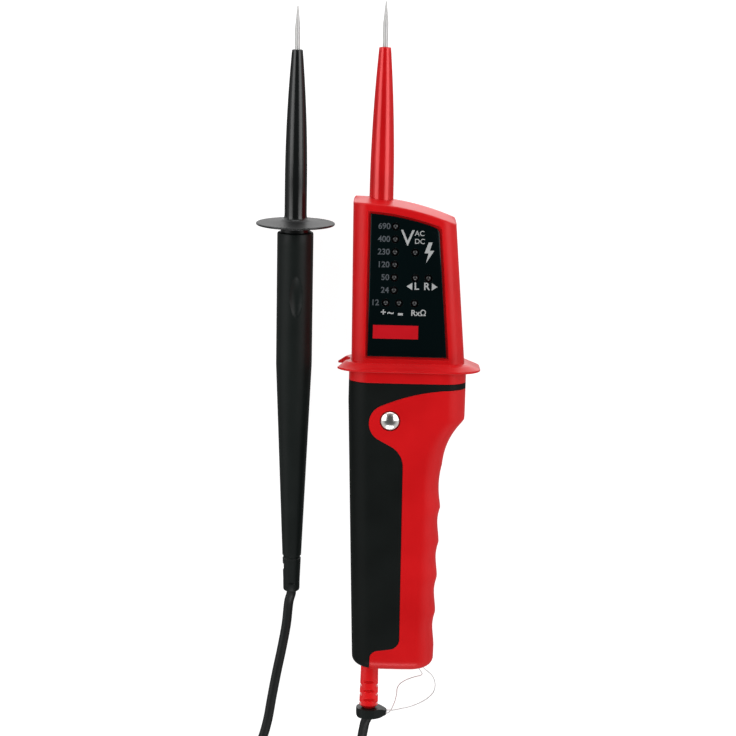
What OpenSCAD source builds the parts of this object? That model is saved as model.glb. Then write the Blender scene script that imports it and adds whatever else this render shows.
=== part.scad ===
// Two-pole voltage tester: a main unit with a light display, a second probe, and the lead that joins them.
// Both lie on their backs with the needles along +Y. In a unit's own frame x runs across it,
// y along its needle and z out of its front, from the needle axis and the lower end of its housing.

/* [Housing] */
// Length of the grip, from the lower end to the hand guard
grip_len = 125; // [118:0.5:136]
// Distance from the needle axis to the left side of the neck
axis_inset = 11.4; // [11:0.1:13]
// Width of the neck under the hand guard
neck_w = 47.6; // [46:0.2:52]
// Depth of the grip, front to back
grip_depth = 27; // [26:0.5:30]
// How far the left side of the grip comes in at the lower end
left_taper = 4; // [3:0.1:4.6]
// Width of the finger side, from the needle axis to the top ridge
finger_reach = 27.4; // [27:0.1:30]
// How far the finger side comes in between the top ridge and the lower end
right_taper = 1.2; // [0.4:0.1:2]
// Radius of the long edges across the width
edge_w = 8; // [6:0.25:9]
// Radius of the long edges through the depth
edge_d = 9; // [7:0.25:11]
// Radius of the lower end
end_round = 4.5; // [3:0.25:6]
// Crown of the front face
front_crown = 0.8; // [0.2:0.1:1.4]
// Wall of the moulded shells
shell_wall = 2; // [1.6:0.1:2.4]
// Thickness of the lower end wall
end_wall = 2.5; // [2:0.1:3.2]

/* [Finger side] */
// Number of finger ridges
ridge_count = 5; // [4:1:6]
// Distance between ridges
ridge_pitch = 14.8; // [13:0.2:15.4]
// Height of the lowest ridge above the lower end
ridge_first = 9; // [7:0.5:11]
// Depth of the hollows between ridges
ridge_depth = 0.9; // [0.4:0.1:1.2]
// Height of the hollow and shoulder above the top ridge
shoulder_h = 38; // [32:0.5:42]

/* [Hand guard] */
// Reach of the guard to the left of the needle axis
guard_left = 16.5; // [15.5:0.1:19]
// Reach of the guard to the right of the needle axis
guard_right = 41.9; // [41:0.1:46]
// Depth of the guard, front to back
guard_depth = 32; // [31:0.5:36]
// Corner radius of the guard in plan
guard_corner = 11; // [8:0.5:13]
// Thickness of the guard at its rim
rim_t = 1; // [0.8:0.1:1.4]
// Thickness of the guard at its root
root_t = 3.2; // [2.6:0.1:4]
// Radius of the notch that holds the second probe
notch_r = 8.5; // [7:0.25:9.5]
// Wall left between the notch and the side of the head
notch_wall = 0.4; // [0.2:0.1:1]

/* [Head] */
// Height of the head above the lower face of the guard
head_h = 69.8; // [66:0.2:76]
// Depth of the head, front to back
head_depth = 24; // [23:0.5:25.5]
// How far the left side of the head stands in from the neck at the guard
head_step = 0.9; // [0.5:0.1:1.5]
// How far the left side of the head leans out towards the top
head_lean = 0.8; // [0:0.1:1.2]
// How far the right side of the head comes in towards the top
head_taper = 6; // [5:0.1:7]
// Distance of the highest point of the head to the left of the needle axis
crest_left = 10; // [6:0.5:12]
// Radius of the long edges of the head
head_edge = 6.3; // [5:0.1:7]
// Radius around the top of the head
top_round = 2.6; // [1.8:0.1:3.2]
// Wall of the head behind the display window
head_front_wall = 3; // [2.8:0.1:3.4]

/* [Display] */
// Margin between the window and the left side of the head
window_left = 6.5; // [6:0.1:8]
// Margin between the window and the right side of the head
window_right = 7.4; // [7:0.1:9]
// Margin between the window and the crown of the head
window_top = 6.2; // [5.5:0.1:7]
// Margin between the window and the root of the guard
window_bottom = 2.8; // [2:0.1:4]
// Thickness of the window
window_t = 1.3; // [1:0.1:1.4]
// How deep the window lies below its frame
window_recess = 0.2; // [0.1:0.1:0.5]
// Radius of a light
led_r = 1.5; // [1.2:0.1:1.6]
// Distance between the rows of lights
led_pitch = 5.12; // [4.6:0.02:5.2]
// Number of voltage lights in the column
led_rows = 6; // [4:1:6]
// Voltage lights, to the right of the needle axis
led_column = 5.9; // [5.4:0.1:6.4]
// Top voltage light below the crest of the head
led_drop = 11.3; // [11.2:0.1:11.8]
// Distance from the voltage lights to the column of other lights
led_second_column = 8.4; // [7.6:0.1:8.6]
// Distance between two lights of one pair
led_pair = 5.3; // [4.4:0.1:5.4]

/* [Touch electrode] */
// Radius of the electrode
electrode_r = 4; // [3.2:0.1:4.4]
// Electrode below the guard
electrode_drop = 19.9; // [18:0.1:22]
// Electrode to the right of the needle axis
electrode_x = 5.7; // [5:0.1:7]
// Height of its dome above the front
dome_h = 1.5; // [1:0.1:2]

/* [Grip pads] */
// Thickness of the soft pads
pad_t = 1.5; // [1.2:0.1:1.8]
// Width of the neck band above the pads
neck_band = 4.5; // [4:0.1:6]
// Height of the pad where it reaches the finger side
pad_band = 2.5; // [2:0.1:3.4]
// Pad edge beside the fingers, to the right of the needle axis
pad_edge = 11.3; // [10:0.1:12.5]
// Radius of the pad edge round the electrode
lobe_r = 7.6; // [7:0.1:8]
// Height of the step in the pad above the lower end
pad_foot = 10.1; // [8:0.1:13]

/* [Main probe] */
// Radius of the needles
needle_r = 1; // [0.8:0.05:1.1]
// Length of bare needle
needle_out = 18; // [14:0.5:19]
// Length of the needle's point
needle_point = 8.5; // [6:0.5:10]
// Radius of the sleeve at its base
sleeve_r = 4.85; // [4.4:0.05:5.2]
// Radius of the sleeve at its tip
sleeve_tip_r = 2.4; // [2:0.05:2.7]
// Length of the sleeve above the crest of the head
sleeve_len = 59.2; // [54:0.2:64]

/* [Second probe] */
// Length of its handle and tail
handle_len = 152.6; // [146:0.2:160]
// Radius of the handle
handle_r = 7.35; // [7:0.05:8]
// Height at which the handle starts to taper
handle_kink = 97.7; // [90:0.1:104]
// Radius of the tail
tail_r = 3.45; // [3.3:0.05:3.8]
// Radius of the hand guard disc
disc_r = 16; // [15:0.25:18]
// Thickness of the disc at its rim
disc_rim = 0.9; // [0.7:0.1:1.2]
// Length of the sleeve above the disc
second_sleeve_len = 69.6; // [64:0.2:74]
// Radius of the second sleeve at its base
second_sleeve_r = 4.5; // [4.1:0.05:4.7]
// Radius of the second sleeve at its tip
second_tip_r = 2.2; // [1.9:0.05:2.4]
// Length of its bare needle
second_needle_out = 17.2; // [14:0.2:18]
// Length of the thumb hollow
dimple_len = 28; // [24:0.5:32]
// Depth of the thumb hollow
dimple_depth = 1.5; // [0.6:0.1:1.8]

/* [Lead] */
// Radius of the lead
cord_r = 2; // [1.8:0.05:2.1]
// Length of the strain relief outside the housing
relief_len = 20; // [18:0.5:24]
// Radius of the strain relief at the housing
relief_r = 3.6; // [3.4:0.05:3.7]
// Radius of the strain relief at its end
relief_end_r = 3.95; // [3.8:0.05:4.2]
// Radius of the collar on the lead
collar_r = 5.25; // [5:0.05:5.6]
// Thickness of the collar
collar_t = 3.8; // [2.8:0.1:4]
// Reach of the collar's lug from the lead
lug_reach = 9.8; // [8:0.1:11]
// Radius of the thread loop
thread_r = 0.22; // [0.18:0.01:0.25]

/* [Battery] */
// Radius of a cell
cell_r = 5.25; // [5.1:0.05:5.25]
// Length of a cell
cell_len = 44.5; // [43.5:0.1:44.5]
// Thickness of the battery door
door_t = 2.1; // [1.8:0.1:2.3]

/* [Fits] */
// Clearance between parts that are pushed together
fit = 0.05; // [0.03:0.01:0.08]
// Gap around the battery door
door_gap = 0.2; // [0.15:0.05:0.3]
// Radius of the case screws
screw_r = 1; // [0.9:0.05:1.1]
// Radius of the screw heads
screw_head_r = 2.3; // [2.1:0.05:2.4]

/* [Hidden] */
$fn = 48;

red = [0.80, 0.09, 0.11];
grip_black = [0.09, 0.10, 0.10];
steel = [0.75, 0.75, 0.74];
board_green = [0.10, 0.36, 0.20];

// Where the two units lie, so that the object's box is centred on the origin
main_x = 4.3;
main_y = -136;
second_x = -29.5;
second_y = -108.8;
second_turn = 0.26;

// Derived sizes of the housing
half_d = grip_depth / 2;
head_half_d = head_depth / 2;
neck_right = neck_w - axis_inset;
inner_wall = pad_t + shell_wall;
straight_top = 13;
taper_end = grip_len - straight_top;
ridge_top = ridge_first + (ridge_count - 1) * ridge_pitch;
shoulder_start = 0.3;
shoulder_low = ridge_top + shoulder_h * shoulder_start;
shoulder_top = ridge_top + shoulder_h;
root_y = grip_len + root_t;
crest_y = grip_len + head_h;
crown_bend = 1.52;
crown_r = crown_bend * head_h;
crown_y = crest_y - crown_r;
tip_y = crest_y + sleeve_len + needle_out;
needle_base = tip_y - needle_out;

function clamp(a, low, high) = max(low, min(high, a));
function soft_min(a, b, k) = (a + b - sqrt(pow(a - b, 2) + k * k)) / 2;

// Left side of the grip at height y
function grip_left(y) = -axis_inset + left_taper * max(0, 1 - y / taper_end);

// Right side without the hollows: a straight taper that opens into the shoulder
function finger_line(y) = finger_reach - right_taper * (1 - clamp(y / ridge_top, 0, 1));
shoulder_full = 0.95;
shoulder_power = 2.8;
shoulder_blend = 0.06;
function shoulder(y) =
    let (t = clamp((y - shoulder_low) / (shoulder_full * (shoulder_top - shoulder_low)), 0, 2))
    soft_min(pow(t, shoulder_power), 1, shoulder_blend);
function grip_right(y) = finger_line(y) + (neck_right - finger_line(y)) * max(0, shoulder(y));

// Depth of the finger hollow at height y, steep under each ridge and slow below
top_hollow = 0.47;
hollow_lean = 1.45;
function hollow(y) =
    y > ridge_top ? ridge_depth * sin(180 * clamp((y - ridge_top) / (top_hollow * shoulder_h), 0, 1))
    : let (step = (y - ridge_first) / ridge_pitch, part = step - floor(step))
      y < ridge_first ? 0 : ridge_depth * sin(180 * pow(part, hollow_lean));

// Sides and crown of the head
function head_left(y) = -axis_inset + head_step - head_lean * (y - grip_len) / head_h;
function head_right(y) = neck_right - head_step / 1.5 - head_taper * (y - grip_len) / head_h;
function crown(x, drop) = crown_y + sqrt(pow(crown_r - drop, 2) - pow(x + crest_left, 2));

// Half of a rounded section, from the left foot over the top to the right foot
corner_steps = 5;
function corner_left(left, h, rw, rd) = [for (i = [0:corner_steps]) let (a = 90 * i / corner_steps)
    [left + rw * (1 - cos(a)), h - rd * (1 - sin(a)), 0]];
function corner_right(right, h, rw, rd) = [for (i = [corner_steps:-1:0]) let (a = 90 * i / corner_steps)
    [right - rw * (1 - cos(a)), h - rd * (1 - sin(a)), cos(a)]];
function crowned(p, mid, half_w, h, bulge) =
    [p[0], p[1] + bulge * max(0, 1 - pow((p[0] - mid) / half_w, 2)) * pow(p[1] / h, 2), p[2]];
function half_section(left, right, h, rw, rd, bulge, dent, foot) =
    let (mid = (left + right) / 2, half_w = (right - left) / 2,
        top = concat(corner_left(left, h, rw, rd), [[mid, h, 0]], corner_right(right, h, rw, rd)),
        raised = [for (p = top) crowned(p, mid, half_w, h, bulge)])
    concat([[left, foot]], [for (p = raised) [p[0] - dent * p[2], p[1]]], [[right - dent, foot]]);

// Heights of the sections: close together at the lower end, the hollows and the shoulder
end_rings = [for (a = [90, 60, 30]) a];
fine_rings = concat([end_round], [for (i = [0:4 * (ridge_count - 1)]) ridge_first + i * ridge_pitch / 4],
    [for (t = [0.12, 0.24, 0.36, 0.5, 0.62, 0.74, 0.84, 0.91, 0.96, 1.02]) ridge_top + t * shoulder_h],
    [shoulder_top + 0.6 * (grip_len - shoulder_top)]);
coarse_rings = [end_round, ridge_first, ridge_top, ridge_top + 0.6 * shoulder_h, ridge_top + 0.8 * shoulder_h,
    ridge_top + 0.94 * shoulder_h, shoulder_top + 1];

function grip_ring(y, inset, bulge, dented, foot, at) =
    [for (p = half_section(grip_left(y) + inset, grip_right(y) - inset, half_d - inset,
            edge_w - inset / 2, edge_d - inset / 2, bulge, dented ? hollow(y) : 0, foot))
        [p[0], at, p[1]]];
function grip_rings(inset, bulge, dented, foot, low, high, heights) = concat(
    [for (a = end_rings) grip_ring(end_round, inset + end_round * (1 - cos(a)), bulge, dented, foot,
        low + end_round * (1 - sin(a)))],
    [for (y = heights) if (y > low + end_round - 0.01 && y < high - 0.5)
        grip_ring(y, inset, bulge, dented, foot, y)],
    [grip_ring(high, inset, bulge, dented, foot, high)]);

// A closed solid through rings of equal count
function ring_walls(n, m) = [for (k = [0:m - 2], i = [0:n - 1], upper = [0, 1])
    let (j = (i + 1) % n, a = k * n, b = a + n)
    upper == 0 ? [a + i, b + i, b + j] : [a + i, b + j, a + j]];
module loft(rings) {
    n = len(rings[0]);
    m = len(rings);
    polyhedron(
        points = [for (r = rings) each r],
        faces = concat([[for (i = [0:n - 1]) i]], [[for (i = [n - 1:-1:0]) (m - 1) * n + i]],
            ring_walls(n, m)));
}

// The outside of one half of the grip, and the same form drawn in by an inset
module grip_outside(bulge) {
    loft(grip_rings(0, bulge, true, 0, 0, grip_len + rim_t / 2, fine_rings));
}
module grip_inset(inset, bulge, low, high) {
    loft(grip_rings(inset, bulge, false, -1, low, high, coarse_rings));
}

// One half of the head, with its slanted crown. Each ring runs over the top and back along the parting plane
function head_top_points(left, right, h) =
    [for (p = concat(corner_left(left, h, head_edge, head_edge), corner_right(right, h, head_edge, head_edge)))
        [p[0], p[1]]];
function head_ring(y, inset, front, foot) =
    let (top = head_top_points(head_left(y) + inset, head_right(y) - inset, head_half_d - front))
    concat([for (p = top) [p[0], y, p[1]]], [for (i = [len(top) - 1:-1:0]) [top[i][0], y, foot]]);
function crown_ring(inset, front, drop, fall, foot) =
    let (y = crest_y - crest_left,
        top = head_top_points(head_left(y) + inset, head_right(y) - inset, head_half_d - front))
    concat([for (p = top) [p[0], crown(p[0], drop) - fall, p[1]]],
        [for (i = [len(top) - 1:-1:0]) [top[i][0], crown(top[i][0], drop) - fall, foot]]);
module head_loft(rings) {
    n = len(rings[0]);
    h = n / 2;
    m = len(rings);
    polyhedron(
        points = [for (r = rings) each r],
        faces = concat(
            [for (i = [0:h - 2]) [i, i + 1, n - 2 - i, n - 1 - i]],
            [for (i = [0:h - 2]) [for (j = [n - 1 - i, n - 2 - i, i + 1, i]) (m - 1) * n + j]],
            ring_walls(n, m)));
}
top_corner = 1.4;
top_sweep = 5.5;
module head_outside() {
    head_loft(concat([head_ring(grip_len + rim_t / 2, 0, 0, 0)],
        [for (a = [0, 25, 50, 70, 90]) crown_ring(top_corner * (1 - cos(a)), top_sweep * (1 - cos(a)), 0,
            top_round * (1 - sin(a)), 0)]));
}
module head_inside(front_wall) {
    head_loft([head_ring(grip_len - 1.5, shell_wall, front_wall, -1),
        crown_ring(shell_wall, front_wall, head_front_wall, 0, -1)]);
}

// Extrusions along the needle and turned parts on an axis along the needle
module along_y(y, len) {
    translate([0, y + len, 0]) rotate([90, 0, 0]) linear_extrude(len) children();
}
module turned(x = 0, y = 0, z = 0) {
    translate([x, y, z]) rotate([-90, 0, 0]) rotate_extrude() children();
}
module rod(r, y, len, x = 0, z = 0) {
    translate([x, y, z]) rotate([-90, 0, 0]) cylinder(r = r, h = len);
}
module post(r, x, y, low, high) {
    translate([x, y, low]) cylinder(r = r, h = high - low);
}
module block(x0, x1, y0, y1, z0, z1) {
    translate([x0, y0, z0]) cube([x1 - x0, y1 - y0, z1 - z0]);
}

// Neck of the strain relief in the lower end wall
relief_neck_r = 2.7;

// Outline with each corner turned into an arc of its own radius
function unit(v) = v / norm(v);
function corner_arc(a, b, c, r) =
    let (u = unit([a[0] - b[0], a[1] - b[1]]), v = unit([c[0] - b[0], c[1] - b[1]]),
        half = acos(clamp(u * v, -1, 1)) / 2, reach = r / tan(half), mid = unit(u + v),
        centre = [b[0], b[1]] + mid * (r / sin(half)), p = [b[0], b[1]] + u * reach,
        from = atan2(p[1] - centre[1], p[0] - centre[0]),
        sweep = (u[0] * v[1] - u[1] * v[0] > 0 ? -1 : 1) * (180 - 2 * half),
        steps = max(2, ceil(abs(sweep) / 15)))
    [for (i = [0:steps]) centre + r * [cos(from + sweep * i / steps), sin(from + sweep * i / steps)]];
function rounded(points) = [for (i = [0:len(points) - 1])
    let (n = len(points), a = points[(i + n - 1) % n], b = points[i], c = points[(i + 1) % n])
    each (b[2] > 0 ? corner_arc(a, b, c, b[2]) : [[b[0], b[1]]])];

// Hand guard
module guard_plan(inset, finger_inset = 0) {
    low = guard_left - inset;
    high = guard_right - inset - finger_inset;
    deep = guard_depth / 2 - inset;
    r = guard_corner - inset;
    polygon(rounded([[-low, 0, 0], [-low, deep, r], [high, deep, r], [high, 0, 0]]));
}
rim_stand = 0.5;
finger_slope = 2.3;
module guard_half() {
    slope = guard_depth / 2 - head_half_d - rim_stand;
    difference() {
        hull() {
            along_y(grip_len, rim_t) guard_plan(0);
            along_y(root_y - 0.1, 0.1) guard_plan(slope, finger_slope);
        }
        rod(notch_r, grip_len - 1, root_t + 2, -axis_inset + head_step - notch_wall - notch_r);
    }
}

// Pads: the space that they fill, bounded by the neck band and the line round the electrode
pad_beyond = 60;
function pad_line() =
    let (top = grip_len - neck_band - pad_band, lobe_left = electrode_x - lobe_r - 0.9,
        lobe_y = grip_len - electrode_drop)
    [[pad_beyond, top, 0], [lobe_left + 21.1, top, 75],
        [lobe_left, lobe_y + 4.1, lobe_r], [lobe_left, lobe_y - 5.7, lobe_r],
        [pad_edge, lobe_y - 13.2, 9.5], [pad_edge + 0.6, pad_foot, 4.5],
        [-0.2, pad_foot - 1.8, 3.5], [-0.2, 2.5, 6], [0.2, -4, 0]];
module pad_region() {
    band_y = grip_len - neck_band;
    polygon(rounded(concat(pad_line(),
        [[-pad_beyond, -4, 0], [-pad_beyond, band_y, 0], [pad_beyond, band_y, 0]])));
}
module pad_space(bulge) {
    difference() {
        translate([0, 0, -0.5]) linear_extrude(half_d + 5) pad_region();
        grip_inset(pad_t, bulge, pad_t, grip_len + 5);
    }
}
module pad_half(bulge) {
    difference() {
        intersection() {
            grip_outside(bulge);
            pad_space(bulge);
        }
        rod(relief_neck_r + fit, -1, end_wall + 2);
    }
}

// Display window, cut from the same lines as the head
function window_left_x() = head_left(root_y) + window_left;
window_foot = root_y + window_bottom;
function window_side(y) = head_right(y) - window_right;
window_corner_r = 2.6;
window_corner_x = window_side(crest_y - 13);
function window_outline(gap) = concat(
    [[window_left_x() - gap, window_foot - gap],
        [window_left_x() - gap, crown(window_left_x(), window_top) + gap]],
    [for (t = [0.25:0.25:0.75]) let (x = window_left_x() + t * (window_corner_x - 1.5 - window_left_x()))
        [x, crown(x, window_top) + gap]],
    [for (p = corner_arc([0, crown(0, window_top)], [window_corner_x, crown(window_corner_x, window_top)],
            [window_side(window_foot), window_foot], window_corner_r)) [p[0] + gap, p[1] + gap]],
    [[window_side(window_foot) + gap, window_foot - gap]]);
window_floor = head_half_d - window_recess - window_t;

// Lights
led_tall = 5.4;
led_below = 0.2;
led_seat = window_floor + window_t - led_below - led_tall;
led_top = crest_y - led_drop;
led_last = led_top - led_rows * led_pitch;
led_second_x = led_column + led_second_column;
voltage_spots = [for (i = [0:led_rows - 1]) [led_column, led_top - i * led_pitch]];
polarity_spots = [for (side = [-1, 1]) [led_column - 0.5 + side * led_pair / 2, led_last]];
phase_spots = [[led_second_x - 0.3, led_top - 2 * led_pitch]];
rotation_spots = [for (i = [0, 1]) [led_second_x + i * led_pair, led_top - 4 * led_pitch]];
continuity_spots = [[led_second_x, led_last]];
all_spots = concat(voltage_spots, polarity_spots, phase_spots, rotation_spots, continuity_spots);
module lights(spots) {
    for (s = spots) translate([s[0], s[1], led_seat]) {
        cylinder(r = led_r + 0.4, h = 1);
        cylinder(r = led_r, h = led_tall - led_r);
        translate([0, 0, led_tall - led_r]) sphere(r = led_r);
    }
}

// Main probe: the sleeve is trapped by its flange between the head's end wall and a rib in each shell
flange_r = 6.2;
flange_t = 2;
seat_wall = 1;
flange_y = crown(flange_r + seat_wall, head_front_wall) - flange_t - 0.8;
tail_sleeve_r = 4;
rib_t = 2;
rib_y = flange_y - rib_t - fit;
shank_step = 0.4;
shank_r = needle_r + shank_step;
needle_inner = rib_y - 3;
module sleeve_seat() {
    intersection() {
        rod(flange_r + seat_wall, flange_y + flange_t, 4);
        block(-20, 20, flange_y, flange_y + 10, 0, 20);
    }
}

// Battery tray and door
tray_left = grip_left(0) + inner_wall + 1.9;
tray_w = 4 * cell_r + 1;
tray_mid = tray_left + tray_w / 2;
plate_t = 0.5;
spring_h = 4.6;
tray_low = 11.5;
tray_len = cell_len + 2 * plate_t + spring_h + 0.3;
tray_top = tray_low + tray_len;
tray_wall = 1.2;
door_seat = half_d - door_t;
cell_z = -(door_seat - cell_r - 0.3);
tray_floor = cell_z + cell_r + 0.2;
door_left = tray_left - tray_wall - 0.6;
door_right = tray_left + tray_w + tray_wall + 0.6;
door_low = tray_low - 2.4;
door_screw_y = tray_top + tray_wall + 3.4;
door_high = door_screw_y + 3.7;
door_screw_seat = half_d - 1.2;
tab_w = 3;
tab_len = 2;
tab_t = 1.2;
boss_r = 3.4;
pilot_r = screw_r + fit;

// Circuit board, behind the lights
board_t = 1.6;
board_front = led_seat;
board_back = board_front - board_t;
board_left = tray_left + 1.4;
board_right = finger_reach - 5.4;
board_low = tray_top + 4.6;
board_high = min(rib_y - 0.2, crown(board_right, head_front_wall) - 0.6);
post_r = 1.5;
board_posts = [[board_left + 2, board_low + 12], [board_right - 2, board_low + 12],
    [board_left + 2, root_y + 14], [board_right - 2, root_y + 14]];

// Case screws, driven from the back
screw_head_t = 1.3;
screw_seat = 9;
screw_reach = 7;
head_screw_y = crest_y - 19;
neck_screw_y = grip_len - 14;
case_spots = [[head_left(head_screw_y) + shell_wall + boss_r, head_screw_y],
    [head_right(head_screw_y) - shell_wall - boss_r, head_screw_y],
    [grip_left(neck_screw_y) + inner_wall + boss_r, neck_screw_y],
    [grip_right(neck_screw_y) - inner_wall - boss_r, neck_screw_y]];

// Strain relief, collar and thread on the main unit
relief_flange_r = 3.4;
relief_flange_t = 1.8;
collar_y = -relief_len;
thread_holes = [20.4, 22.3];
thread_hole_z = 4;

// Electrode
electrode_y = grip_len - electrode_drop;
electrode_seat = half_d - inner_wall;
electrode_tip = board_front + 1.2;

// One shell without its inner fittings
module shell_skin(bulge, front_wall) {
    difference() {
        union() {
            difference() {
                grip_outside(bulge);
                pad_space(bulge);
            }
            guard_half();
            head_outside();
        }
        grip_inset(inner_wall, bulge, end_wall, grip_len - 1);
        head_inside(front_wall);
    }
}
module sleeve_rib() {
    block(head_left(rib_y) + shell_wall / 2, flange_r + 2.4, rib_y, rib_y + rib_t, 0, head_half_d - 2.5);
}
module common_holes() {
    rod(sleeve_r + fit, flange_y, 30);
    rod(tail_sleeve_r + fit, rib_y - 1, 8);
    rod(relief_neck_r + fit, -1, end_wall + 2);
    rod(relief_flange_r + fit, end_wall, 5);
}

// Fittings inside the grip stop short of the pads
module grip_fittings(bulge) {
    intersection() {
        grip_inset(pad_t + shell_wall / 2, bulge, pad_t + 0.5, grip_len + 1);
        children();
    }
}

module front_shell() color(red) difference() {
    union() {
        shell_skin(front_crown, head_front_wall);
        sleeve_rib();
        sleeve_seat();
        for (s = [case_spots[0], case_spots[1]]) post(boss_r, s[0], s[1], 0, head_half_d - 2);
        for (p = board_posts)
            post(post_r, p[0], p[1], board_front, p[1] > grip_len ? head_half_d - 2.5 : half_d - 2.2);
        grip_fittings(front_crown) {
            for (s = [case_spots[2], case_spots[3]]) post(boss_r, s[0], s[1], 0, half_d);
        }
    }
    common_holes();
    translate([0, 0, window_floor]) linear_extrude(window_t + 3) polygon(window_outline(fit));
    for (s = all_spots) post(led_r + 0.1, s[0], s[1], led_seat + 1.5, head_half_d);
    for (s = all_spots) post(led_r + 0.5, s[0], s[1], led_seat - 1, led_seat + 1.5);
    for (s = case_spots) post(pilot_r, s[0], s[1], -1, screw_reach + 1);
    post(electrode_r + fit, electrode_x, electrode_y, electrode_seat - 2, half_d + 4);
    for (x = thread_holes) rod(thread_r + 0.25, -1, 8, x, thread_hole_z);
    block(thread_holes[0], thread_holes[1], 4.8, 7, thread_hole_z - 0.6, thread_hole_z + 0.6);
}

// Rear shell, drawn facing up and then turned over
module door_outline(gap) {
    polygon(rounded([[door_left - gap, door_low - gap, 2], [door_left - gap, door_high + gap, 2],
        [door_right + gap, door_high + gap, 2], [door_right + gap, door_low - gap, 2]]));
}
module door_tabs(gap) {
    for (x = [tray_mid - 6.5, tray_mid + 3.5])
        block(x - gap, x + tab_w + gap, door_low - tab_len - gap, door_low + 0.5,
            door_seat - tab_t - gap, door_seat + gap / 2);
}
module tray_block() {
    translate([0, 0, door_seat - 1.6]) linear_extrude(1.6) door_outline(1);
    block(tray_left - tray_wall, tray_left + tray_w + tray_wall, tray_low - tray_wall, tray_top + tray_wall,
        -tray_floor - tray_wall, door_seat);
    post(boss_r - 0.4, tray_mid, door_screw_y, 3, door_seat);
}
module rear_half() difference() {
    union() {
        shell_skin(0, shell_wall);
        sleeve_rib();
        sleeve_seat();
        for (s = [case_spots[0], case_spots[1]]) post(boss_r, s[0], s[1], 0, head_half_d - 1);
        for (p = board_posts) post(post_r, p[0], p[1], -board_back, half_d - 3);
        grip_fittings(0) {
            for (s = [case_spots[2], case_spots[3]]) post(boss_r, s[0], s[1], 0, half_d);
            tray_block();
        }
    }
    common_holes();
    for (s = case_spots) post(screw_r + 0.3, s[0], s[1], -1, half_d + 2);
    for (s = case_spots) post(screw_head_r + 0.2, s[0], s[1], screw_seat, half_d + 2);
    translate([0, 0, door_seat]) linear_extrude(10) door_outline(door_gap);
    block(tray_left, tray_left + tray_w, tray_low, tray_top, -tray_floor, half_d + 1);
    post(pilot_r, tray_mid, door_screw_y, 2, half_d);
    door_tabs(door_gap);
}
module rear_shell() color(red) mirror([0, 0, 1]) rear_half();

module front_grip_pad() color(grip_black) pad_half(front_crown);
module rear_grip_pad() color(grip_black) mirror([0, 0, 1]) difference() {
    pad_half(0);
    translate([0, 0, 2]) linear_extrude(half_d) door_outline(door_gap);
    for (s = case_spots) post(screw_head_r + 0.2, s[0], s[1], 5, half_d + 2);
}
module battery_door() color(grip_black) mirror([0, 0, 1]) {
    difference() {
        intersection() {
            grip_outside(0);
            translate([0, 0, door_seat]) linear_extrude(10) door_outline(0);
        }
        post(screw_r + 0.2, tray_mid, door_screw_y, 0, half_d + 1);
        post(screw_head_r + 0.15, tray_mid, door_screw_y, door_screw_seat, half_d + 1);
    }
    door_tabs(0);
}

module display_window() color([0.03, 0.05, 0.05]) difference() {
    translate([0, 0, window_floor]) linear_extrude(window_t) polygon(window_outline(0));
    for (s = all_spots) post(led_r + 0.1, s[0], s[1], window_floor - 1, window_floor + window_t + 1);
}
module voltage_lights() color([0.35, 0.35, 0.33]) lights(voltage_spots);
module polarity_lights() color([0.35, 0.35, 0.33]) lights(polarity_spots);
module phase_light() color([0.35, 0.35, 0.33]) lights(phase_spots);
module rotation_lights() color([0.35, 0.35, 0.33]) lights(rotation_spots);
module continuity_light() color([0.35, 0.35, 0.33]) lights(continuity_spots);

module touch_electrode() color(steel) translate([electrode_x, electrode_y, 0]) {
    top = half_d + front_crown - 0.3;
    ball = (pow(electrode_r, 2) + pow(dome_h, 2)) / (2 * dome_h);
    post(electrode_r + 1, 0, 0, electrode_seat - 1, electrode_seat);
    post(electrode_r, 0, 0, electrode_seat - 1, top);
    post(1.5, 0, 0, electrode_tip, electrode_seat);
    intersection() {
        translate([0, 0, top + dome_h - ball]) sphere(r = ball);
        post(electrode_r, 0, 0, top - 0.5, top + 3);
    }
}

// A bent contact strip: foot on the board, riser, and a tongue under what it touches
module strip(foot_z, tongue_z, foot_len, tongue_len, wide) {
    up = tongue_z > foot_z ? 1 : -1;
    t = 0.4;
    translate([-wide / 2, 0, 0]) rotate([90, 0, 90]) linear_extrude(wide)
        polygon([[-foot_len, foot_z], [0, foot_z], [0, tongue_z - up * t], [tongue_len, tongue_z - up * t],
            [tongue_len, tongue_z], [-t, tongue_z], [-t, foot_z + up * t], [-foot_len, foot_z + up * t]]);
}
module electrode_spring() color(steel) translate([electrode_x, electrode_y - 4, 0])
    strip(board_front, electrode_tip - fit, 3, 5.5, 3);
module needle_contact() color(steel) translate([1, needle_inner - 2.4, 0])
    strip(board_back, shank_r + fit, 4, 4.2, 2.6);

module circuit_board() color(board_green)
    block(board_left, board_right, board_low, board_high, board_back, board_front);
buzzer_r = 6;
module buzzer() color([0.12, 0.12, 0.13]) translate([2 * buzzer_r, root_y + 4, board_back - buzzer_r])
    difference() {
        cylinder(r = buzzer_r, h = buzzer_r);
        translate([0, 0, -1]) cylinder(r = 1, h = 2);
    }

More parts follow.
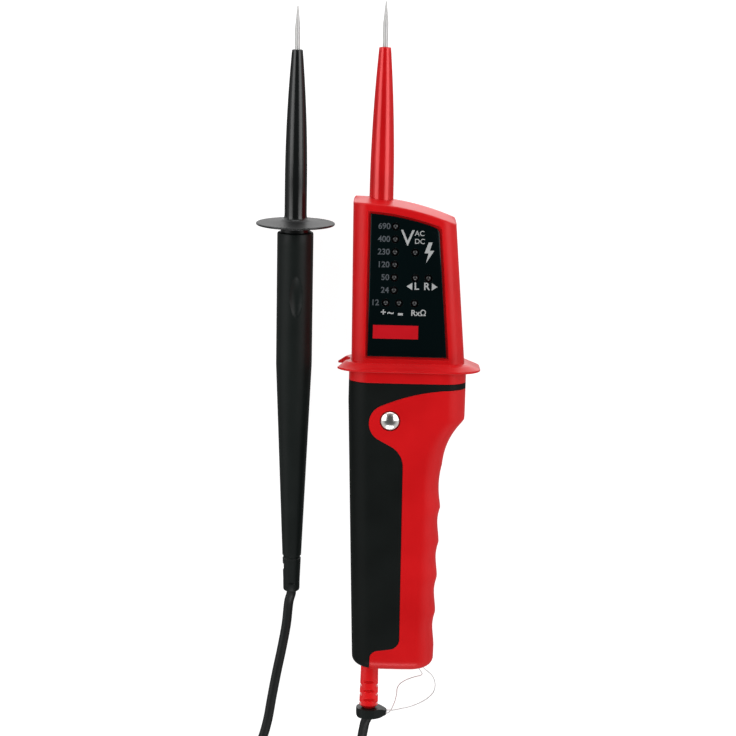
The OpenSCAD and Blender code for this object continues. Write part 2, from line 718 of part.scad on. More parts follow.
// Two cells, side by side and opposite ways round
nub_h = 0.8;
nub_r = 1.9;
module cell(flip) {
    translate([0, flip ? cell_len : 0, 0]) rotate([flip ? 180 : 0, 0, 0]) {
        rod(cell_r, 0, cell_len - nub_h);
        rod(nub_r, cell_len - nub_h - 0.1, nub_h + 0.1);
    }
}
cell_x = [tray_mid - cell_r - 0.15, tray_mid + cell_r + 0.15];
spring_room = plate_t + spring_h;
module cells() color([0.72, 0.55, 0.20]) {
    translate([cell_x[0], tray_low + spring_room, cell_z]) cell(false);
    translate([cell_x[1], tray_top - spring_room - cell_len, cell_z]) cell(true);
}
plate_half_w = cell_r * 2 / 3;
plate_half_h = cell_r * 3 / 4;
module plate(left, right, y) {
    block(left - plate_half_w, right + plate_half_w, y, y + plate_t,
        cell_z - plate_half_h, cell_z + plate_half_h);
}
module battery_contacts() color(steel) {
    plate(cell_x[0], cell_x[1], tray_low);
    for (x = cell_x) plate(x, x, tray_top - plate_t);
}

// Sweep of a round section along points, with a frame that starts from a given normal
function direction(pts, i) = unit(i == 0 ? pts[1] - pts[0]
    : i == len(pts) - 1 ? pts[i] - pts[i - 1] : unit(pts[i + 1] - pts[i]) + unit(pts[i] - pts[i - 1]));
function square_to(t, n) = unit(n - t * (n * t));
function carried(pts, n, i = 0) = i == len(pts) ? []
    : let (here = square_to(direction(pts, i), n)) concat([here], carried(pts, here, i + 1));
module sweep(pts, r, sides, first = [0, 0, 1]) {
    normals = carried(pts, first);
    loft([for (i = [0:len(pts) - 1]) let (t = direction(pts, i), n = normals[i], b = cross(n, t))
        [for (k = [0:sides - 1]) let (a = 360 * k / sides) pts[i] + r * (n * cos(a) + b * sin(a))]]);
}

// Conical contact springs
spring_turns = 3;
module contact_spring(up) {
    wire = spring_h / 13;
    wide = cell_r * 0.61;
    points = [for (i = [0:10 * spring_turns]) let (t = i / (10 * spring_turns), r = wide * (1 - t / 2))
        [r * cos(36 * i), up * (wire + t * (spring_h - 2 * wire - 0.1)), r * sin(36 * i)]];
    sweep(points, wire, 5, [0, 1, 0]);
}
module battery_springs() color(steel) {
    translate([cell_x[0], tray_low + plate_t, cell_z]) contact_spring(1);
    translate([cell_x[1], tray_top - plate_t, cell_z]) contact_spring(-1);
}

// A pan head screw that points out of the front, with a cross recess
module screw(x, y, seat, reach) {
    translate([x, y, 0]) difference() {
        union() {
            post(screw_head_r, 0, 0, seat - screw_head_t, seat);
            post(screw_r, 0, 0, seat - 0.5, reach);
        }
        block(-1.4, 1.4, -0.3, 0.3, seat - 2, seat - 0.8);
        block(-0.3, 0.3, -1.4, 1.4, seat - 2, seat - 0.8);
    }
}
module case_screws() color(steel) for (s = case_spots) screw(s[0], s[1], -screw_seat, screw_reach);
module door_screw() color(steel) screw(tray_mid, door_screw_y, -door_screw_seat, -4);

// Needle with a thicker shank in its sleeve
needle_blunt = 0.25;
module needle(base, out, inner) {
    turned() polygon([[0, inner], [shank_r, inner], [shank_r, base], [needle_r, base],
        [needle_r, base + out - needle_point], [needle_blunt, base + out - needle_blunt], [0, base + out]]);
}
module main_needle() color(steel) needle(needle_base, needle_out, needle_inner);

// Sleeve profile: an arc that leaves the straight base at a tangent
function ogive(base_r, tip_r, low, high) = let (bend = pow(high - low, 2) / (2 * (base_r - tip_r)))
    [for (i = [0:8]) let (y = low + (high - low) * i / 8) [base_r - pow(y - low, 2) / (2 * bend), y]];
mouth_bevel = 0.4;
module main_sleeve() color(red) difference() {
    turned() polygon(concat([[0, rib_y - 0.8], [tail_sleeve_r, rib_y - 0.8], [tail_sleeve_r, flange_y],
        [flange_r, flange_y], [flange_r, flange_y + flange_t], [sleeve_r, flange_y + flange_t]],
        ogive(sleeve_r, sleeve_tip_r, crest_y + mouth_bevel, needle_base - mouth_bevel),
        [[sleeve_tip_r - mouth_bevel, needle_base], [0, needle_base]]));
    needle_bore(needle_base, needle_inner - 1);
}
module needle_bore(base, inner) {
    rod(shank_r + fit, inner, base - inner + 1);
}

// Strain relief: tapered, slit in turn from the front and back and from the sides
slit_w = 1.1;
slit_depth = 3.1;
slit_pitch = 3.9;
slit_first = [-8.2, -10.15];
relief_bevel = 1.4;
module relief_slit(y, turn) rotate([0, turn, 0]) for (side = [-1, 1])
    translate([0, y, side * (relief_end_r + 0.6)]) cube([12, slit_w, slit_depth], center = true);
module strain_relief() color(red) difference() {
    turned() polygon([[0, end_wall + relief_flange_t], [relief_flange_r, end_wall + relief_flange_t],
        [relief_flange_r, end_wall], [relief_neck_r, end_wall], [relief_neck_r, 0], [relief_r, 0],
        [relief_end_r, -relief_len + relief_bevel], [relief_end_r - relief_bevel, -relief_len],
        [0, -relief_len]]);
    for (i = [0:2]) relief_slit(slit_first[0] - i * slit_pitch, 0);
    for (i = [0:2]) relief_slit(slit_first[1] - i * slit_pitch, 90);
}

// Collar on the lead, drawn out into a lug with a hole for the thread
lug_start = 4.7;
collar_end = rounded([[-collar_r, -collar_r, collar_r - 0.05], [-collar_r, collar_r, collar_r - 0.05],
    [2, collar_r, 4], [lug_reach, 0, 1.8], [2, -collar_r, 4]]);
collar_front = rounded([[-collar_r - 0.1, 0, 1.5], [-collar_r - 0.1, collar_t, 0.6],
    [lug_start, collar_t, 3], [lug_reach + 0.4, collar_t / 2, 1.2], [lug_start, 0, 3]]);
module tether_collar() color(grip_black) difference() {
    intersection() {
        along_y(collar_y - collar_t, collar_t) polygon(collar_end);
        translate([0, collar_y - collar_t, -collar_r - 1]) linear_extrude(2 * collar_r + 2)
            polygon(collar_front);
    }
    post(thread_r + 0.25, lug_reach - 2.4, collar_y - collar_t / 2, -4, 4);
}

// Lead inside the housing, from the strain relief to the board
inner_lead_r = cord_r / 2;
lead_over_board = board_front + inner_lead_r + 0.1;
module inner_lead() color([0.1, 0.1, 0.1]) sweep([[0, end_wall + relief_flange_t, 0],
    [0, 6, 0], [0.1, 8, 1.2], [0.4, 10, 2.8], [0.8, 13, 4.2], [1, 20, 5.2], [1, 40, 6.4],
    [1.4, board_low - 4, lead_over_board], [2, board_low + 6, lead_over_board]], inner_lead_r, 8);

// Thread loop, from the lug along the surface to the two small holes and back
thread_route = [[7.4, -22.1, 0], [7.4, -22.1, 1.5], [7.8, -21.9, 2.2], [8.8, -21.4, 1.9],
    [9.8, -20.3, 0.6], [11.0, -18.3, -2.4], [11.8, -16.4, -6.5], [12.2, -14.6, -10.2],
    [13.8, -13.2, -12.2], [16.7, -11.7, -12.8],
    [19.6, -10.2, -11.6], [21.6, -8.6, -8.4], [22.3, -6.6, -4.6], [21.6, -4.0, 0.2], [20.8, -2.0, 3.0],
    [20.4, -0.6, 4], [20.4, 2, 4], [20.4, 5, 4], [20.7, 5.9, 4], [21.35, 6.3, 4], [22, 5.9, 4], [22.3, 5, 4],
    [22.3, 2, 4], [22.3, -0.6, 3.9], [23.0, -2.2, 1.8], [24.6, -4.6, -1.8], [26.2, -7.0, -5.2],
    [27.6, -10.4, -9], [28.2, -14.0, -11.6], [27.6, -17.2, -12.6], [25.4, -19.8, -12.7],
    [22.6, -21.7, -12.6], [19.2, -22.9, -11.4],
    [16.6, -22.9, -8.8], [14.0, -22.5, -6.0], [11.6, -22.3, -3.6], [9.8, -22.2, -2.5], [8.4, -22.1, -2.4],
    [7.5, -22.1, -1.9], [7.4, -22.1, -1.2], [7.4, -22.1, -0.05]];
module tether_thread() color([0.7, 0.7, 0.7]) sweep(thread_route, thread_r, 6, [1, 0, 0]);

// Second probe: tapered sleeve with a disc, over the handle
disc_gap = 3.4;
disc_y = handle_len + disc_gap;
disc_root_t = 1.6;
disc_bevel = 0.4;
sleeve_cove = 1.2;
sleeve_straight = 16;
spigot_r = 4.4;
spigot_len = 8;
hub_r = 5.95;
resistor_r = 2.4;
resistor_len = 14;
resistor_drop = 32;
resistor_y = disc_y - resistor_drop;
wire_r = 0.9;
second_base = disc_y + second_sleeve_len;
needle_hold = 12;
second_inner = disc_y - needle_hold;
module second_needle() color(steel)
    needle(second_base, second_needle_out, second_inner);
module second_sleeve() color(grip_black) difference() {
    turned() polygon(concat([[0, disc_y - spigot_len], [spigot_r, disc_y - spigot_len], [spigot_r, handle_len],
        [hub_r, handle_len], [hub_r, disc_y - disc_root_t],
        [disc_r - disc_bevel, disc_y - disc_rim + disc_bevel], [disc_r, disc_y],
        [disc_r - disc_bevel, disc_y + disc_bevel],
        [second_sleeve_r + sleeve_cove, disc_y + sleeve_cove], [second_sleeve_r, disc_y + 2 * sleeve_cove]],
        ogive(second_sleeve_r, second_tip_r, disc_y + sleeve_straight, second_base - mouth_bevel),
        [[second_tip_r - mouth_bevel, second_base], [0, second_base]]));
    needle_bore(second_base, disc_y - spigot_len - 1);
}
end_bevel = 0.6;
groove_y = 14.2;
groove_depth = 0.35;
dimple_at = [1.2, handle_len - 25.9, handle_r];
dimple_half_w = 4;
wire_hole_y = 8;
notch_y = 10.5;
slot_y = 3.9;
module second_handle() color([0.10, 0.12, 0.12]) difference() {
    turned() polygon([[0, 0], [tail_r - end_bevel, 0], [tail_r, 1.5 * end_bevel],
        [tail_r + groove_depth, groove_y], [tail_r, groove_y + groove_depth], [tail_r, groove_y + 1.2],
        [tail_r + 0.5, groove_y + 1.6], [handle_r, handle_kink],
        [handle_r, handle_len - end_bevel], [handle_r - end_bevel, handle_len], [0, handle_len]]);
    rod(spigot_r + fit, disc_y - spigot_len - fit, spigot_len);
    rod(resistor_r + 0.3, resistor_y - 1, disc_y - resistor_y);
    rod(wire_r + 0.25, wire_hole_y, resistor_y - wire_hole_y);
    translate(dimple_at) thumb_hollow();
    rotate([0, -90, 0]) translate([0, notch_y, tail_r + 0.3]) cube([3.6, 3, 1], center = true);
    translate([0, slot_y, tail_r + 0.2]) cube([4.6, slit_w, 1], center = true);
}
// An oval hollow: a turned lens, sunk into the round handle
module thumb_hollow() {
    lens = (pow(dimple_len / 2, 2) + pow(dimple_half_w, 2)) / (2 * dimple_half_w);
    translate([0, 0, dimple_half_w - dimple_depth]) rotate([-90, 0, 0]) rotate_extrude()
        intersection() {
            translate([dimple_half_w - lens, 0]) circle(r = lens, $fn = 96);
            translate([0, -dimple_len]) square([20, 2 * dimple_len]);
        }
}

// Protective resistor and wire inside the second probe
resistor_wire_r = 0.4;
module second_resistor() color([0.25, 0.45, 0.62]) {
    rod(resistor_r, resistor_y, resistor_len);
    rod(resistor_wire_r, resistor_y + resistor_len - 0.1, second_inner - resistor_y - resistor_len);
}
module second_inner_wire() color([0.1, 0.1, 0.1])
    rod(wire_r, wire_hole_y + 0.2, resistor_y - wire_hole_y - 0.3);

// The units tip back a little: each lies on the edge of its guard and on its lower end
main_tilt = atan((guard_depth / 2 - half_d) / (grip_len - end_round));
main_lift = half_d * cos(main_tilt) - end_round * sin(main_tilt);
second_tilt = atan((disc_r - tail_r) / (disc_y - 1));
second_lift = tail_r * cos(second_tilt) - 1 * sin(second_tilt);
module in_main() translate([main_x, main_y, main_lift]) rotate([main_tilt, 0, 0]) children();
module in_second() translate([second_x, second_y, second_lift])
    rotate([0, 0, second_turn]) rotate([second_tilt, 0, 0]) children();

// Lead, in the object's own frame: from the collar down to the surface, round the coil and up to the tail
main_route = [[4.0, -159.85, 13.1], [4.0, -160.6, 13.1], [3.1, -162.4, 12.9], [2.4, -166, 12.4],
    [1.9, -169.2, 12.0], [1.4, -174, 10.4], [1.3, -180, 7.2], [1.9, -186, 4.2], [2.7, -190, 2.8]];
probe_route = [[-29.5, -108.9, 3.35], [-29.5, -110.2, 3.25], [-30.4, -113.7, 2.5], [-31.4, -124.2, 2],
    [-33.1, -134.7, 2], [-35.1, -145.3, 2], [-36.9, -155.9, 2], [-38.6, -166.6, 2],
    [-40.4, -173.7, 2], [-42.6, -179.5, 2.1],
    [-45, -185.8, 2.6]];
coil_at = [-23, -209];
coil_mid_r = 22;
coil_turn_spread = 6;
coil_layers = 2;
module lead_main_run() color(grip_black) sweep(main_route, cord_r, 8);
module lead_probe_run() color(grip_black) sweep(probe_route, cord_r, 8);
module lead_coil() color(grip_black) translate([coil_at[0], coil_at[1], 0]) {
    inner = coil_mid_r - coil_turn_spread - cord_r;
    outer = coil_mid_r + coil_turn_spread + cord_r;
    tall = 2 * cord_r * coil_layers;
    rotate_extrude() polygon([[inner + 1, 0], [outer - 1, 0], [outer, 1], [outer, tall - 1], [outer - 1, tall],
        [inner + 1, tall], [inner, tall - 1], [inner, 1]]);
}

in_main() front_shell();
in_main() rear_shell();
in_main() front_grip_pad();
in_main() rear_grip_pad();
in_main() display_window();
in_main() voltage_lights();
in_main() polarity_lights();
in_main() phase_light();
in_main() rotation_lights();
in_main() continuity_light();
in_main() touch_electrode();
in_main() electrode_spring();
in_main() circuit_board();
in_main() buzzer();
in_main() needle_contact();
in_main() cells();
in_main() battery_contacts();
in_main() battery_springs();
in_main() battery_door();
in_main() door_screw();
in_main() case_screws();
in_main() main_needle();
in_main() main_sleeve();
in_main() strain_relief();
in_main() inner_lead();
in_main() tether_collar();
in_main() tether_thread();
in_second() second_needle();
in_second() second_sleeve();
in_second() second_handle();
in_second() second_resistor();
in_second() second_inner_wire();
lead_main_run();
lead_coil();
lead_probe_run();
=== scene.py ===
"""Looks of a two-pole voltage tester that lies with its second probe and lead on a pale floor.

In a unit's own frame x runs across it, y along its needle and z out of its front, as in the CAD source.
"""

import math

import bmesh
import bpy
import numpy as np
from mathutils import Matrix, Vector


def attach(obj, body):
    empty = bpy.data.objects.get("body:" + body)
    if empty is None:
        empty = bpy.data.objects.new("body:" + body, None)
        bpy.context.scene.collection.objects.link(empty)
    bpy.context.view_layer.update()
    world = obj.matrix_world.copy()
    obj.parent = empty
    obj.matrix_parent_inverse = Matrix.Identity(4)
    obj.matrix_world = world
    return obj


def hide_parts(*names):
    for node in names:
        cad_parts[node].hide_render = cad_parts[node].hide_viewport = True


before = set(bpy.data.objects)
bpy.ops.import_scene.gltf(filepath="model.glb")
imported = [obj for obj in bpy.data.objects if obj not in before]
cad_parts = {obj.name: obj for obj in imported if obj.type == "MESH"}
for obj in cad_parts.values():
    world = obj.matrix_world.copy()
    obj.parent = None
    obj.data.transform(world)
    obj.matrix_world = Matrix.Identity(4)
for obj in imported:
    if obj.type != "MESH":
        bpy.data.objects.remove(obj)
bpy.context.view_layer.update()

MM = 0.001

# Camera: a long lens over the tester, tipped slightly towards its tips
CAMERA_AT = Vector((0.58, 99.46, 807.21)) * MM
CAMERA_TIP = math.radians(8)
CAMERA_ROLL = math.radians(1.408)
CAMERA_NEAR = 0.05
CAMERA_FAR = 20
LENS = 95.55
SENSOR = 36

# Lead: the route from the collar to the coil and from the coil to the tail of the second probe
LEAD_R = 2 * MM
LEAD_EXIT = (0.0040, -0.1597, 0.0131)
MAIN_ROUTE = [LEAD_EXIT, (0.0040, -0.1606, 0.0131), (0.0031, -0.1624, 0.0129), (0.0024, -0.166, 0.0124),
    (0.0019, -0.1692, 0.0120), (0.0014, -0.174, 0.0104), (0.0013, -0.180, 0.0072),
    (0.0019, -0.186, 0.0042), (0.0027, -0.190, 0.0028), (0.0040, -0.198, 0.0021), (0.0048, -0.204, 0.002)]
PROBE_ROUTE = [(-0.0507, -0.204, 0.0059), (-0.0498, -0.199, 0.005), (-0.0486, -0.1945, 0.0039),
    (-0.0468, -0.190, 0.0031), (-0.0450, -0.1858, 0.0026), (-0.0426, -0.1795, 0.0021),
    (-0.0404, -0.1737, 0.002), (-0.0386, -0.1666, 0.002), (-0.0369, -0.1559, 0.002),
    (-0.0351, -0.1453, 0.002), (-0.0331, -0.1347, 0.002), (-0.0314, -0.1242, 0.002),
    (-0.0304, -0.1137, 0.0025), (-0.0295, -0.1102, 0.00325), (-0.0295, -0.1088, 0.00335)]
LEAD_STEP = 1.5 * MM
COIL_AT = (-0.023, -0.209)
COIL_OUTER = 0.028
COIL_INNER = 0.016
COIL_TURNS = 3
COIL_CHANGE = 0.25
COIL_STEPS = 36
COIL_LAYER_Z = (0.002, 0.0061)

# Thread loop of the collar, in the main unit's own frame
THREAD_R = 0.22 * MM
THREAD_STEP = 0.4 * MM
THREAD_HOLES = (20.4 * MM, 22.3 * MM)
THREAD_HOLE_R = THREAD_R + 0.25 * MM
THREAD_HOLE_Z = 4 * MM
THREAD_HOLE_DEPTH = 8 * MM
THREAD_ROUTE = [(7.4, -22.1, 0.4), (7.4, -22.1, 1.5), (7.8, -21.9, 2.2), (8.8, -21.4, 1.9),
    (9.8, -20.3, 0.6), (11.0, -18.3, -2.4), (11.8, -16.4, -6.5), (12.2, -14.6, -10.2),
    (13.8, -13.2, -12.2), (16.7, -11.7, -12.8), (19.6, -10.2, -11.6), (21.6, -8.6, -8.4),
    (22.3, -6.6, -4.6), (21.6, -4.0, 0.2), (20.8, -2.0, 3.0), (20.4, -0.6, 4), (20.4, 2, 4), (20.4, 5, 4),
    (20.7, 5.9, 4), (21.35, 6.3, 4), (22, 5.9, 4), (22.3, 5, 4), (22.3, 2, 4), (22.3, -0.6, 3.9),
    (23.0, -2.2, 1.8), (24.6, -4.6, -1.8), (26.2, -7.0, -5.2), (27.6, -10.4, -9), (28.2, -14.0, -11.6),
    (27.6, -17.2, -12.6), (25.4, -19.8, -12.7), (22.6, -21.7, -12.6), (19.2, -22.9, -11.4),
    (16.6, -22.9, -8.8), (14.0, -22.5, -6.0), (11.6, -22.3, -3.6), (9.8, -22.2, -2.5), (8.4, -22.1, -2.4),
    (7.5, -22.1, -1.9), (7.4, -22.1, -1.2), (7.4, -22.1, -0.4)]

# Driving sizes of the main unit, as in the CAD source
GRIP_LEN = 125 * MM
AXIS_INSET = 11.4 * MM
NECK_W = 47.6 * MM
HALF_D = 13.5 * MM
LEFT_TAPER = 4 * MM
LEFT_TAPER_DROP = 13 * MM
FINGER_REACH = 27.4 * MM
RIGHT_TAPER = 1.2 * MM
EDGE_W = 8 * MM
EDGE_D = 9 * MM
END_ROUND = 4.5 * MM
FRONT_CROWN = 0.8 * MM
SHELL_WALL = 2 * MM
END_WALL = 2.5 * MM
RIDGES = 5
RIDGE_PITCH = 14.8 * MM
RIDGE_FIRST = 9 * MM
RIDGE_DEPTH = 0.9 * MM
RIDGE_LEAN = 1.45
SHOULDER_H = 38 * MM
SHOULDER_START = 0.3
SHOULDER_LIFT = 2.8
SHOULDER_BLEND = 0.06
GUARD_LEFT = 16.5 * MM
GUARD_RIGHT = 41.9 * MM
GUARD_HALF_D = 16 * MM
GUARD_CORNER = 11 * MM
FINGER_SLOPE = 2.3 * MM
RIM_T = 1 * MM
RIM_EDGE = 0.35
RIM_PROFILE = [(0, RIM_EDGE), (0.1, 0.12), (0.28, 0), (0.72, 0), (0.9, 0.12), (1.0, RIM_EDGE)]
ROOT_T = 3.2 * MM
ROOT_STEP = 0.5 * MM
NOTCH_R = 8.5 * MM
NOTCH_WALL = 0.4 * MM
HEAD_H = 69.8 * MM
HEAD_HALF_D = 12 * MM
HEAD_STEP = 0.9 * MM
HEAD_STEP_RIGHT = 0.6 * MM
HEAD_LEAN = 0.8 * MM
HEAD_TAPER = 6 * MM
CROWN_BEND = 1.52
CREST_LEFT = 10 * MM
HEAD_EDGE = 6.3 * MM
HEAD_WALL = 3 * MM
TOP_ROUND = 2.6 * MM
TOP_CORNER = 1.4 * MM
TOP_EDGE = 0.9 * MM
TOP_DRAFT = 2.3 * MM
TOP_BAND = 1 * MM
WINDOW_LEFT = 6.5 * MM
WINDOW_RIGHT = 7.4 * MM
WINDOW_TOP = 6.2 * MM
WINDOW_BOTTOM = 2.8 * MM
WINDOW_T = 1.3 * MM
WINDOW_RECESS = 0.2 * MM
WINDOW_GROOVE = 0.75 * MM
WINDOW_GROOVE_DEPTH = 1.1 * MM
WINDOW_GROOVE_RISE = 0.1 * MM
WINDOW_RIM = 1.05 * MM
WINDOW_BEVEL = 0.35 * MM
WINDOW_CORNER = 2.6 * MM
WINDOW_CORNER_DROP = 13 * MM
WINDOW_CORNER_RUN = 2 * MM
LED_R = 1.5 * MM
LED_PITCH = 5.12 * MM
LED_ROWS = 6
LED_COLUMN = 5.9 * MM
LED_DROP = 11.3 * MM
LED_SECOND = 8.4 * MM
LED_PAIR = 5.3 * MM
POLARITY_SHIFT = 0.5 * MM
PHASE_SHIFT = 0.3 * MM
LED_HOLE_GAP = 0.2 * MM
LED_WINDOW_GAP = 0.1 * MM
ELECTRODE_R = 4 * MM
ELECTRODE_X = 5.7 * MM
ELECTRODE_DROP = 19.9 * MM
ELECTRODE_GAP = 0.12 * MM
ELECTRODE_SINK = 0.3 * MM
ELECTRODE_RIM = 2 * MM
ELECTRODE_LIP = 0.1 * MM
DOME_H = 1.5 * MM
DOME_EDGE = 1.4 * MM
PAD_T = 1.5 * MM
NECK_BAND = 4.5 * MM
PAD_BAND = 2.5 * MM
PAD_BAND_RUN = 21.1 * MM
PAD_BAND_R = 75 * MM
PAD_EDGE = 11.3 * MM
PAD_EDGE_R = 9.5 * MM
PAD_EDGE_DROP = 13.2 * MM
PAD_EDGE_LEAN = 0.6 * MM
LOBE_R = 7.6 * MM
LOBE_MARGIN = 0.9 * MM
LOBE_TOP = 4.1 * MM
LOBE_FOOT = 5.7 * MM
PAD_FOOT = 10.1 * MM
PAD_FOOT_R = 4.5 * MM
PAD_FOOT_STEP = 1.8 * MM
PAD_FOOT_STEP_R = 3.5 * MM
PAD_END = 2.5 * MM
PAD_END_R = 6 * MM
PAD_END_SHIFT = 0.2 * MM
PAD_SPACE = (-40 * MM, 60 * MM, -4 * MM)
SLEEVE_R = 4.85 * MM
SLEEVE_TIP_R = 2.4 * MM
SLEEVE_LEN = 59.2 * MM
NEEDLE_R = 1 * MM
NEEDLE_OUT = 18 * MM
NEEDLE_POINT = 8.5 * MM
NEEDLE_TIP_R = 0.25 * MM
NEEDLE_ROOT = 1 * MM
SLEEVE_ROOT = 8 * MM
SLEEVE_EDGE = 0.4 * MM
SLEEVE_EDGE_IN = 0.12 * MM
RELIEF_NECK_R = 2.7 * MM
CASE_SCREW_HOLE_R = 2.5 * MM
CASE_SCREW_SEAT = 7.7 * MM
DOOR_CORNER = 2 * MM
DOOR_FLOOR = 11.4 * MM
DOOR_FOOT = 2.1 * MM
DOOR_SPACE_FOOT = 1.9 * MM
DOOR_SCREW_HOLE_R = 2.45 * MM
DOOR_SCREW_SEAT = 12.3 * MM
GAP = 0.08 * MM

# Where cutting solids end, past what they cut
PAST = 1 * MM
FAR_PAST = 5 * MM
ABOVE = 20 * MM

# Lengths of the meshes' steps along the grip, counts of steps in their curves, and angles in degrees
FINE_STEP = 1.2 * MM
COARSE_STEP = 3 * MM
EDGE_STEPS = 14
TOP_STEPS = 16
SIDE_STEPS = 4
HEAD_EDGE_STEPS = 12
HEAD_TOP_STEPS = 24
HEAD_END_STEPS = 10
HEAD_WALL_STEPS = 8
WINDOW_STEPS = 16
SLEEVE_STEPS = 40
DOME_EDGE_STEPS = 8
DOME_STEPS = 24
RIM_STEPS = 12
END_ANGLES = range(90, 0, -10)
TIP_ANGLES = (30, 60, 80)

# Driving sizes of the second probe, as in the CAD source
HANDLE_LEN = 152.6 * MM
HANDLE_R = 7.35 * MM
HANDLE_KINK = 97.7 * MM
TAIL_R = 3.45 * MM
TAIL_HEEL = 1 * MM
DISC_R = 16 * MM
DISC_RIM = 0.9 * MM
DISC_LIFT = 3.4 * MM
DISC_FALL = 1.6 * MM
DISC_DISH = 0.35 * MM
DISC_RIM_DROP = 0.1 * MM
DISC_FACE_IN = 1.4 * MM
DISC_FACE_RISE = 0.3 * MM
HUB_R = 5.95 * MM
SPIGOT_R = 4.4 * MM
SPIGOT_DEPTH = 8 * MM
SECOND_SLEEVE_LEN = 69.6 * MM
SECOND_SLEEVE_R = 4.5 * MM
SECOND_TIP_R = 2.2 * MM
SECOND_NEEDLE_OUT = 17.2 * MM
DIMPLE_LEN = 28 * MM
DIMPLE_DEPTH = 1.5 * MM
DIMPLE_HALF_W = 4 * MM
DIMPLE_DROP = 25.9 * MM
DIMPLE_SHIFT = 1.2 * MM

# Turned profiles under and above the disc, as (outward, upward) pairs in mm from the hub and the sleeve
DISC_BACK = [(0, -2.2), (0.15, -1.8), (0.6, -1.6)]
DISC_NECK = [(2.4, 1.0), (1.1, 1.3), (0.4, 1.9), (0.1, 2.7), (0, 3.6)]
DISC_NECK_TOP = 16 * MM

# Slot and notch near the handle's tail: half width, lower and upper end, depth
TAIL_SLOT = (2.3 * MM, 3.4 * MM, 4.4 * MM, 0.35 * MM)
TAIL_NOTCH = (1.8 * MM, 9 * MM, 12 * MM, 0.3 * MM)

# Handle of the second probe as (height, radius) pairs, and the heights of its rings in mm
HANDLE_PROFILE = [(0, TAIL_R - 0.6 * MM), (0.3 * MM, TAIL_R - 0.2 * MM), (0.9 * MM, TAIL_R),
    (5 * MM, TAIL_R + 0.05 * MM), (14.2 * MM, TAIL_R + 0.4 * MM), (14.5 * MM, TAIL_R + 0.1 * MM),
    (15.4 * MM, TAIL_R + 0.1 * MM), (15.8 * MM, TAIL_R + 0.5 * MM), (HANDLE_KINK, HANDLE_R),
    (HANDLE_LEN - 0.8 * MM, HANDLE_R), (HANDLE_LEN - 0.3 * MM, HANDLE_R - 0.15 * MM),
    (HANDLE_LEN, HANDLE_R - 0.7 * MM)]
HANDLE_MARKS = ([0, 0.3, 0.9, 5, 14.2, 14.5, 15.4, 15.8] + [16 + i * 1.5 for i in range(64)]
    + [112 + 0.5 * i for i in range(60)] + [144, 148, 151.8, 152.3, 152.6])

# Printed signs in mm: name, text, size, place across and place above the top light or the last row
PRINT_LIFT = 0.012 * MM
PRINT_WEIGHT = 0.018
NUMBERS = ["690", "400", "230", "120", "50", "24"]
NUMBER_SIZE = 3.3 * MM
NUMBER_EDGE = 3.9 * MM
LAST_NUMBER_EDGE = 0.1 * MM
UPPER_SIGNS = [("volt", "V", 9, 8.1, -4.7, 0.002), ("AC", "AC", 2.9, 13.6, -2.6, 0.004),
    ("DC", "DC", 2.9, 13.6, -5.8, 0.004)]
LOWER_SIGNS = [("L", "L", 4.1, 13.9, 6.9), ("R", "R", 4.1, 17.7, 6.9), ("plus", "+", 4, 0.7, -3.9),
    ("wave", "~", 4.6, 3.4, -3.9), ("minus", "-", 7, 7.6, -3.9), ("ohm", "RxΩ", 3.3, 12.9, -3.9)]
ARROWS = [(10.9, 13.2), (23.3, 21.0)]
ARROW_ROW = 6.9
ARROW_HALF = 1.5
BOLT_AT = (17.5, -6)
BOLT = [(1.8, 0), (3.3, 0), (2.3, -3.3), (4.1, -3.3), (0.9, -8.3), (1.8, -4.4), (0.2, -4.4)]
BAR_INSET = 1.9 * MM
BAR_LEN = 18.2 * MM
BAR_LOW = 10.1 * MM
BAR_H = 5.5 * MM

# Light of the studio's walls and ceiling and of the floor, and the parts of a direction where it changes
WALL_LIGHT = 0.6
CEILING_LIGHT = 0.08
BELOW_LIGHT = 0.3
NORTH_LIGHT = 2.2
SIDE_SHARE = 0.55
HORIZON = (-0.1, 0)
CEILING_START = (0.45, 0.85)
SIDE_START = (0.1, 0.5)
NORTH_START = (0.1, 0.3)
FLOOR_LIGHT = 0.93
FLOOR_DARK = (0.29, 0.29, 0.29)
FLOOR_PALE = (0.31, 0.31, 0.31)
FLOOR_HALF = 6
FLOOR_T = 0.02

# Light boxes: name, size, place, the point that each faces, and power
LIGHT_BOXES = [("left box", (0.8, 0.62), (-0.72, 0.31, 0.62), (0, 0.31, 0), 4.3),
    ("right box", (0.8, 0.62), (0.70, 0.31, 0.64), (0, 0.31, 0), 4.8),
    ("top box", (0.9, 0.4), (0, 1.0, 0.42), (0, 0.05, 0), 2.0),
    ("front box", (0.8, 0.3), (0, -0.95, 0.6), (0, 0, 0), 4.4)]

# Sharp edges, relief and uneven gloss of the surfaces, and how far a face turns before it counts as lying
# across the needle's line
SHARP_ANGLE = math.radians(32)
GRAIN_H = 0.03 * MM
BROAD_NOISE = 60
NOISE_RANGE = (0.3, 0.7)
GLOSS_CHANGE = 0.08
ACROSS = (0.5, 0.9)

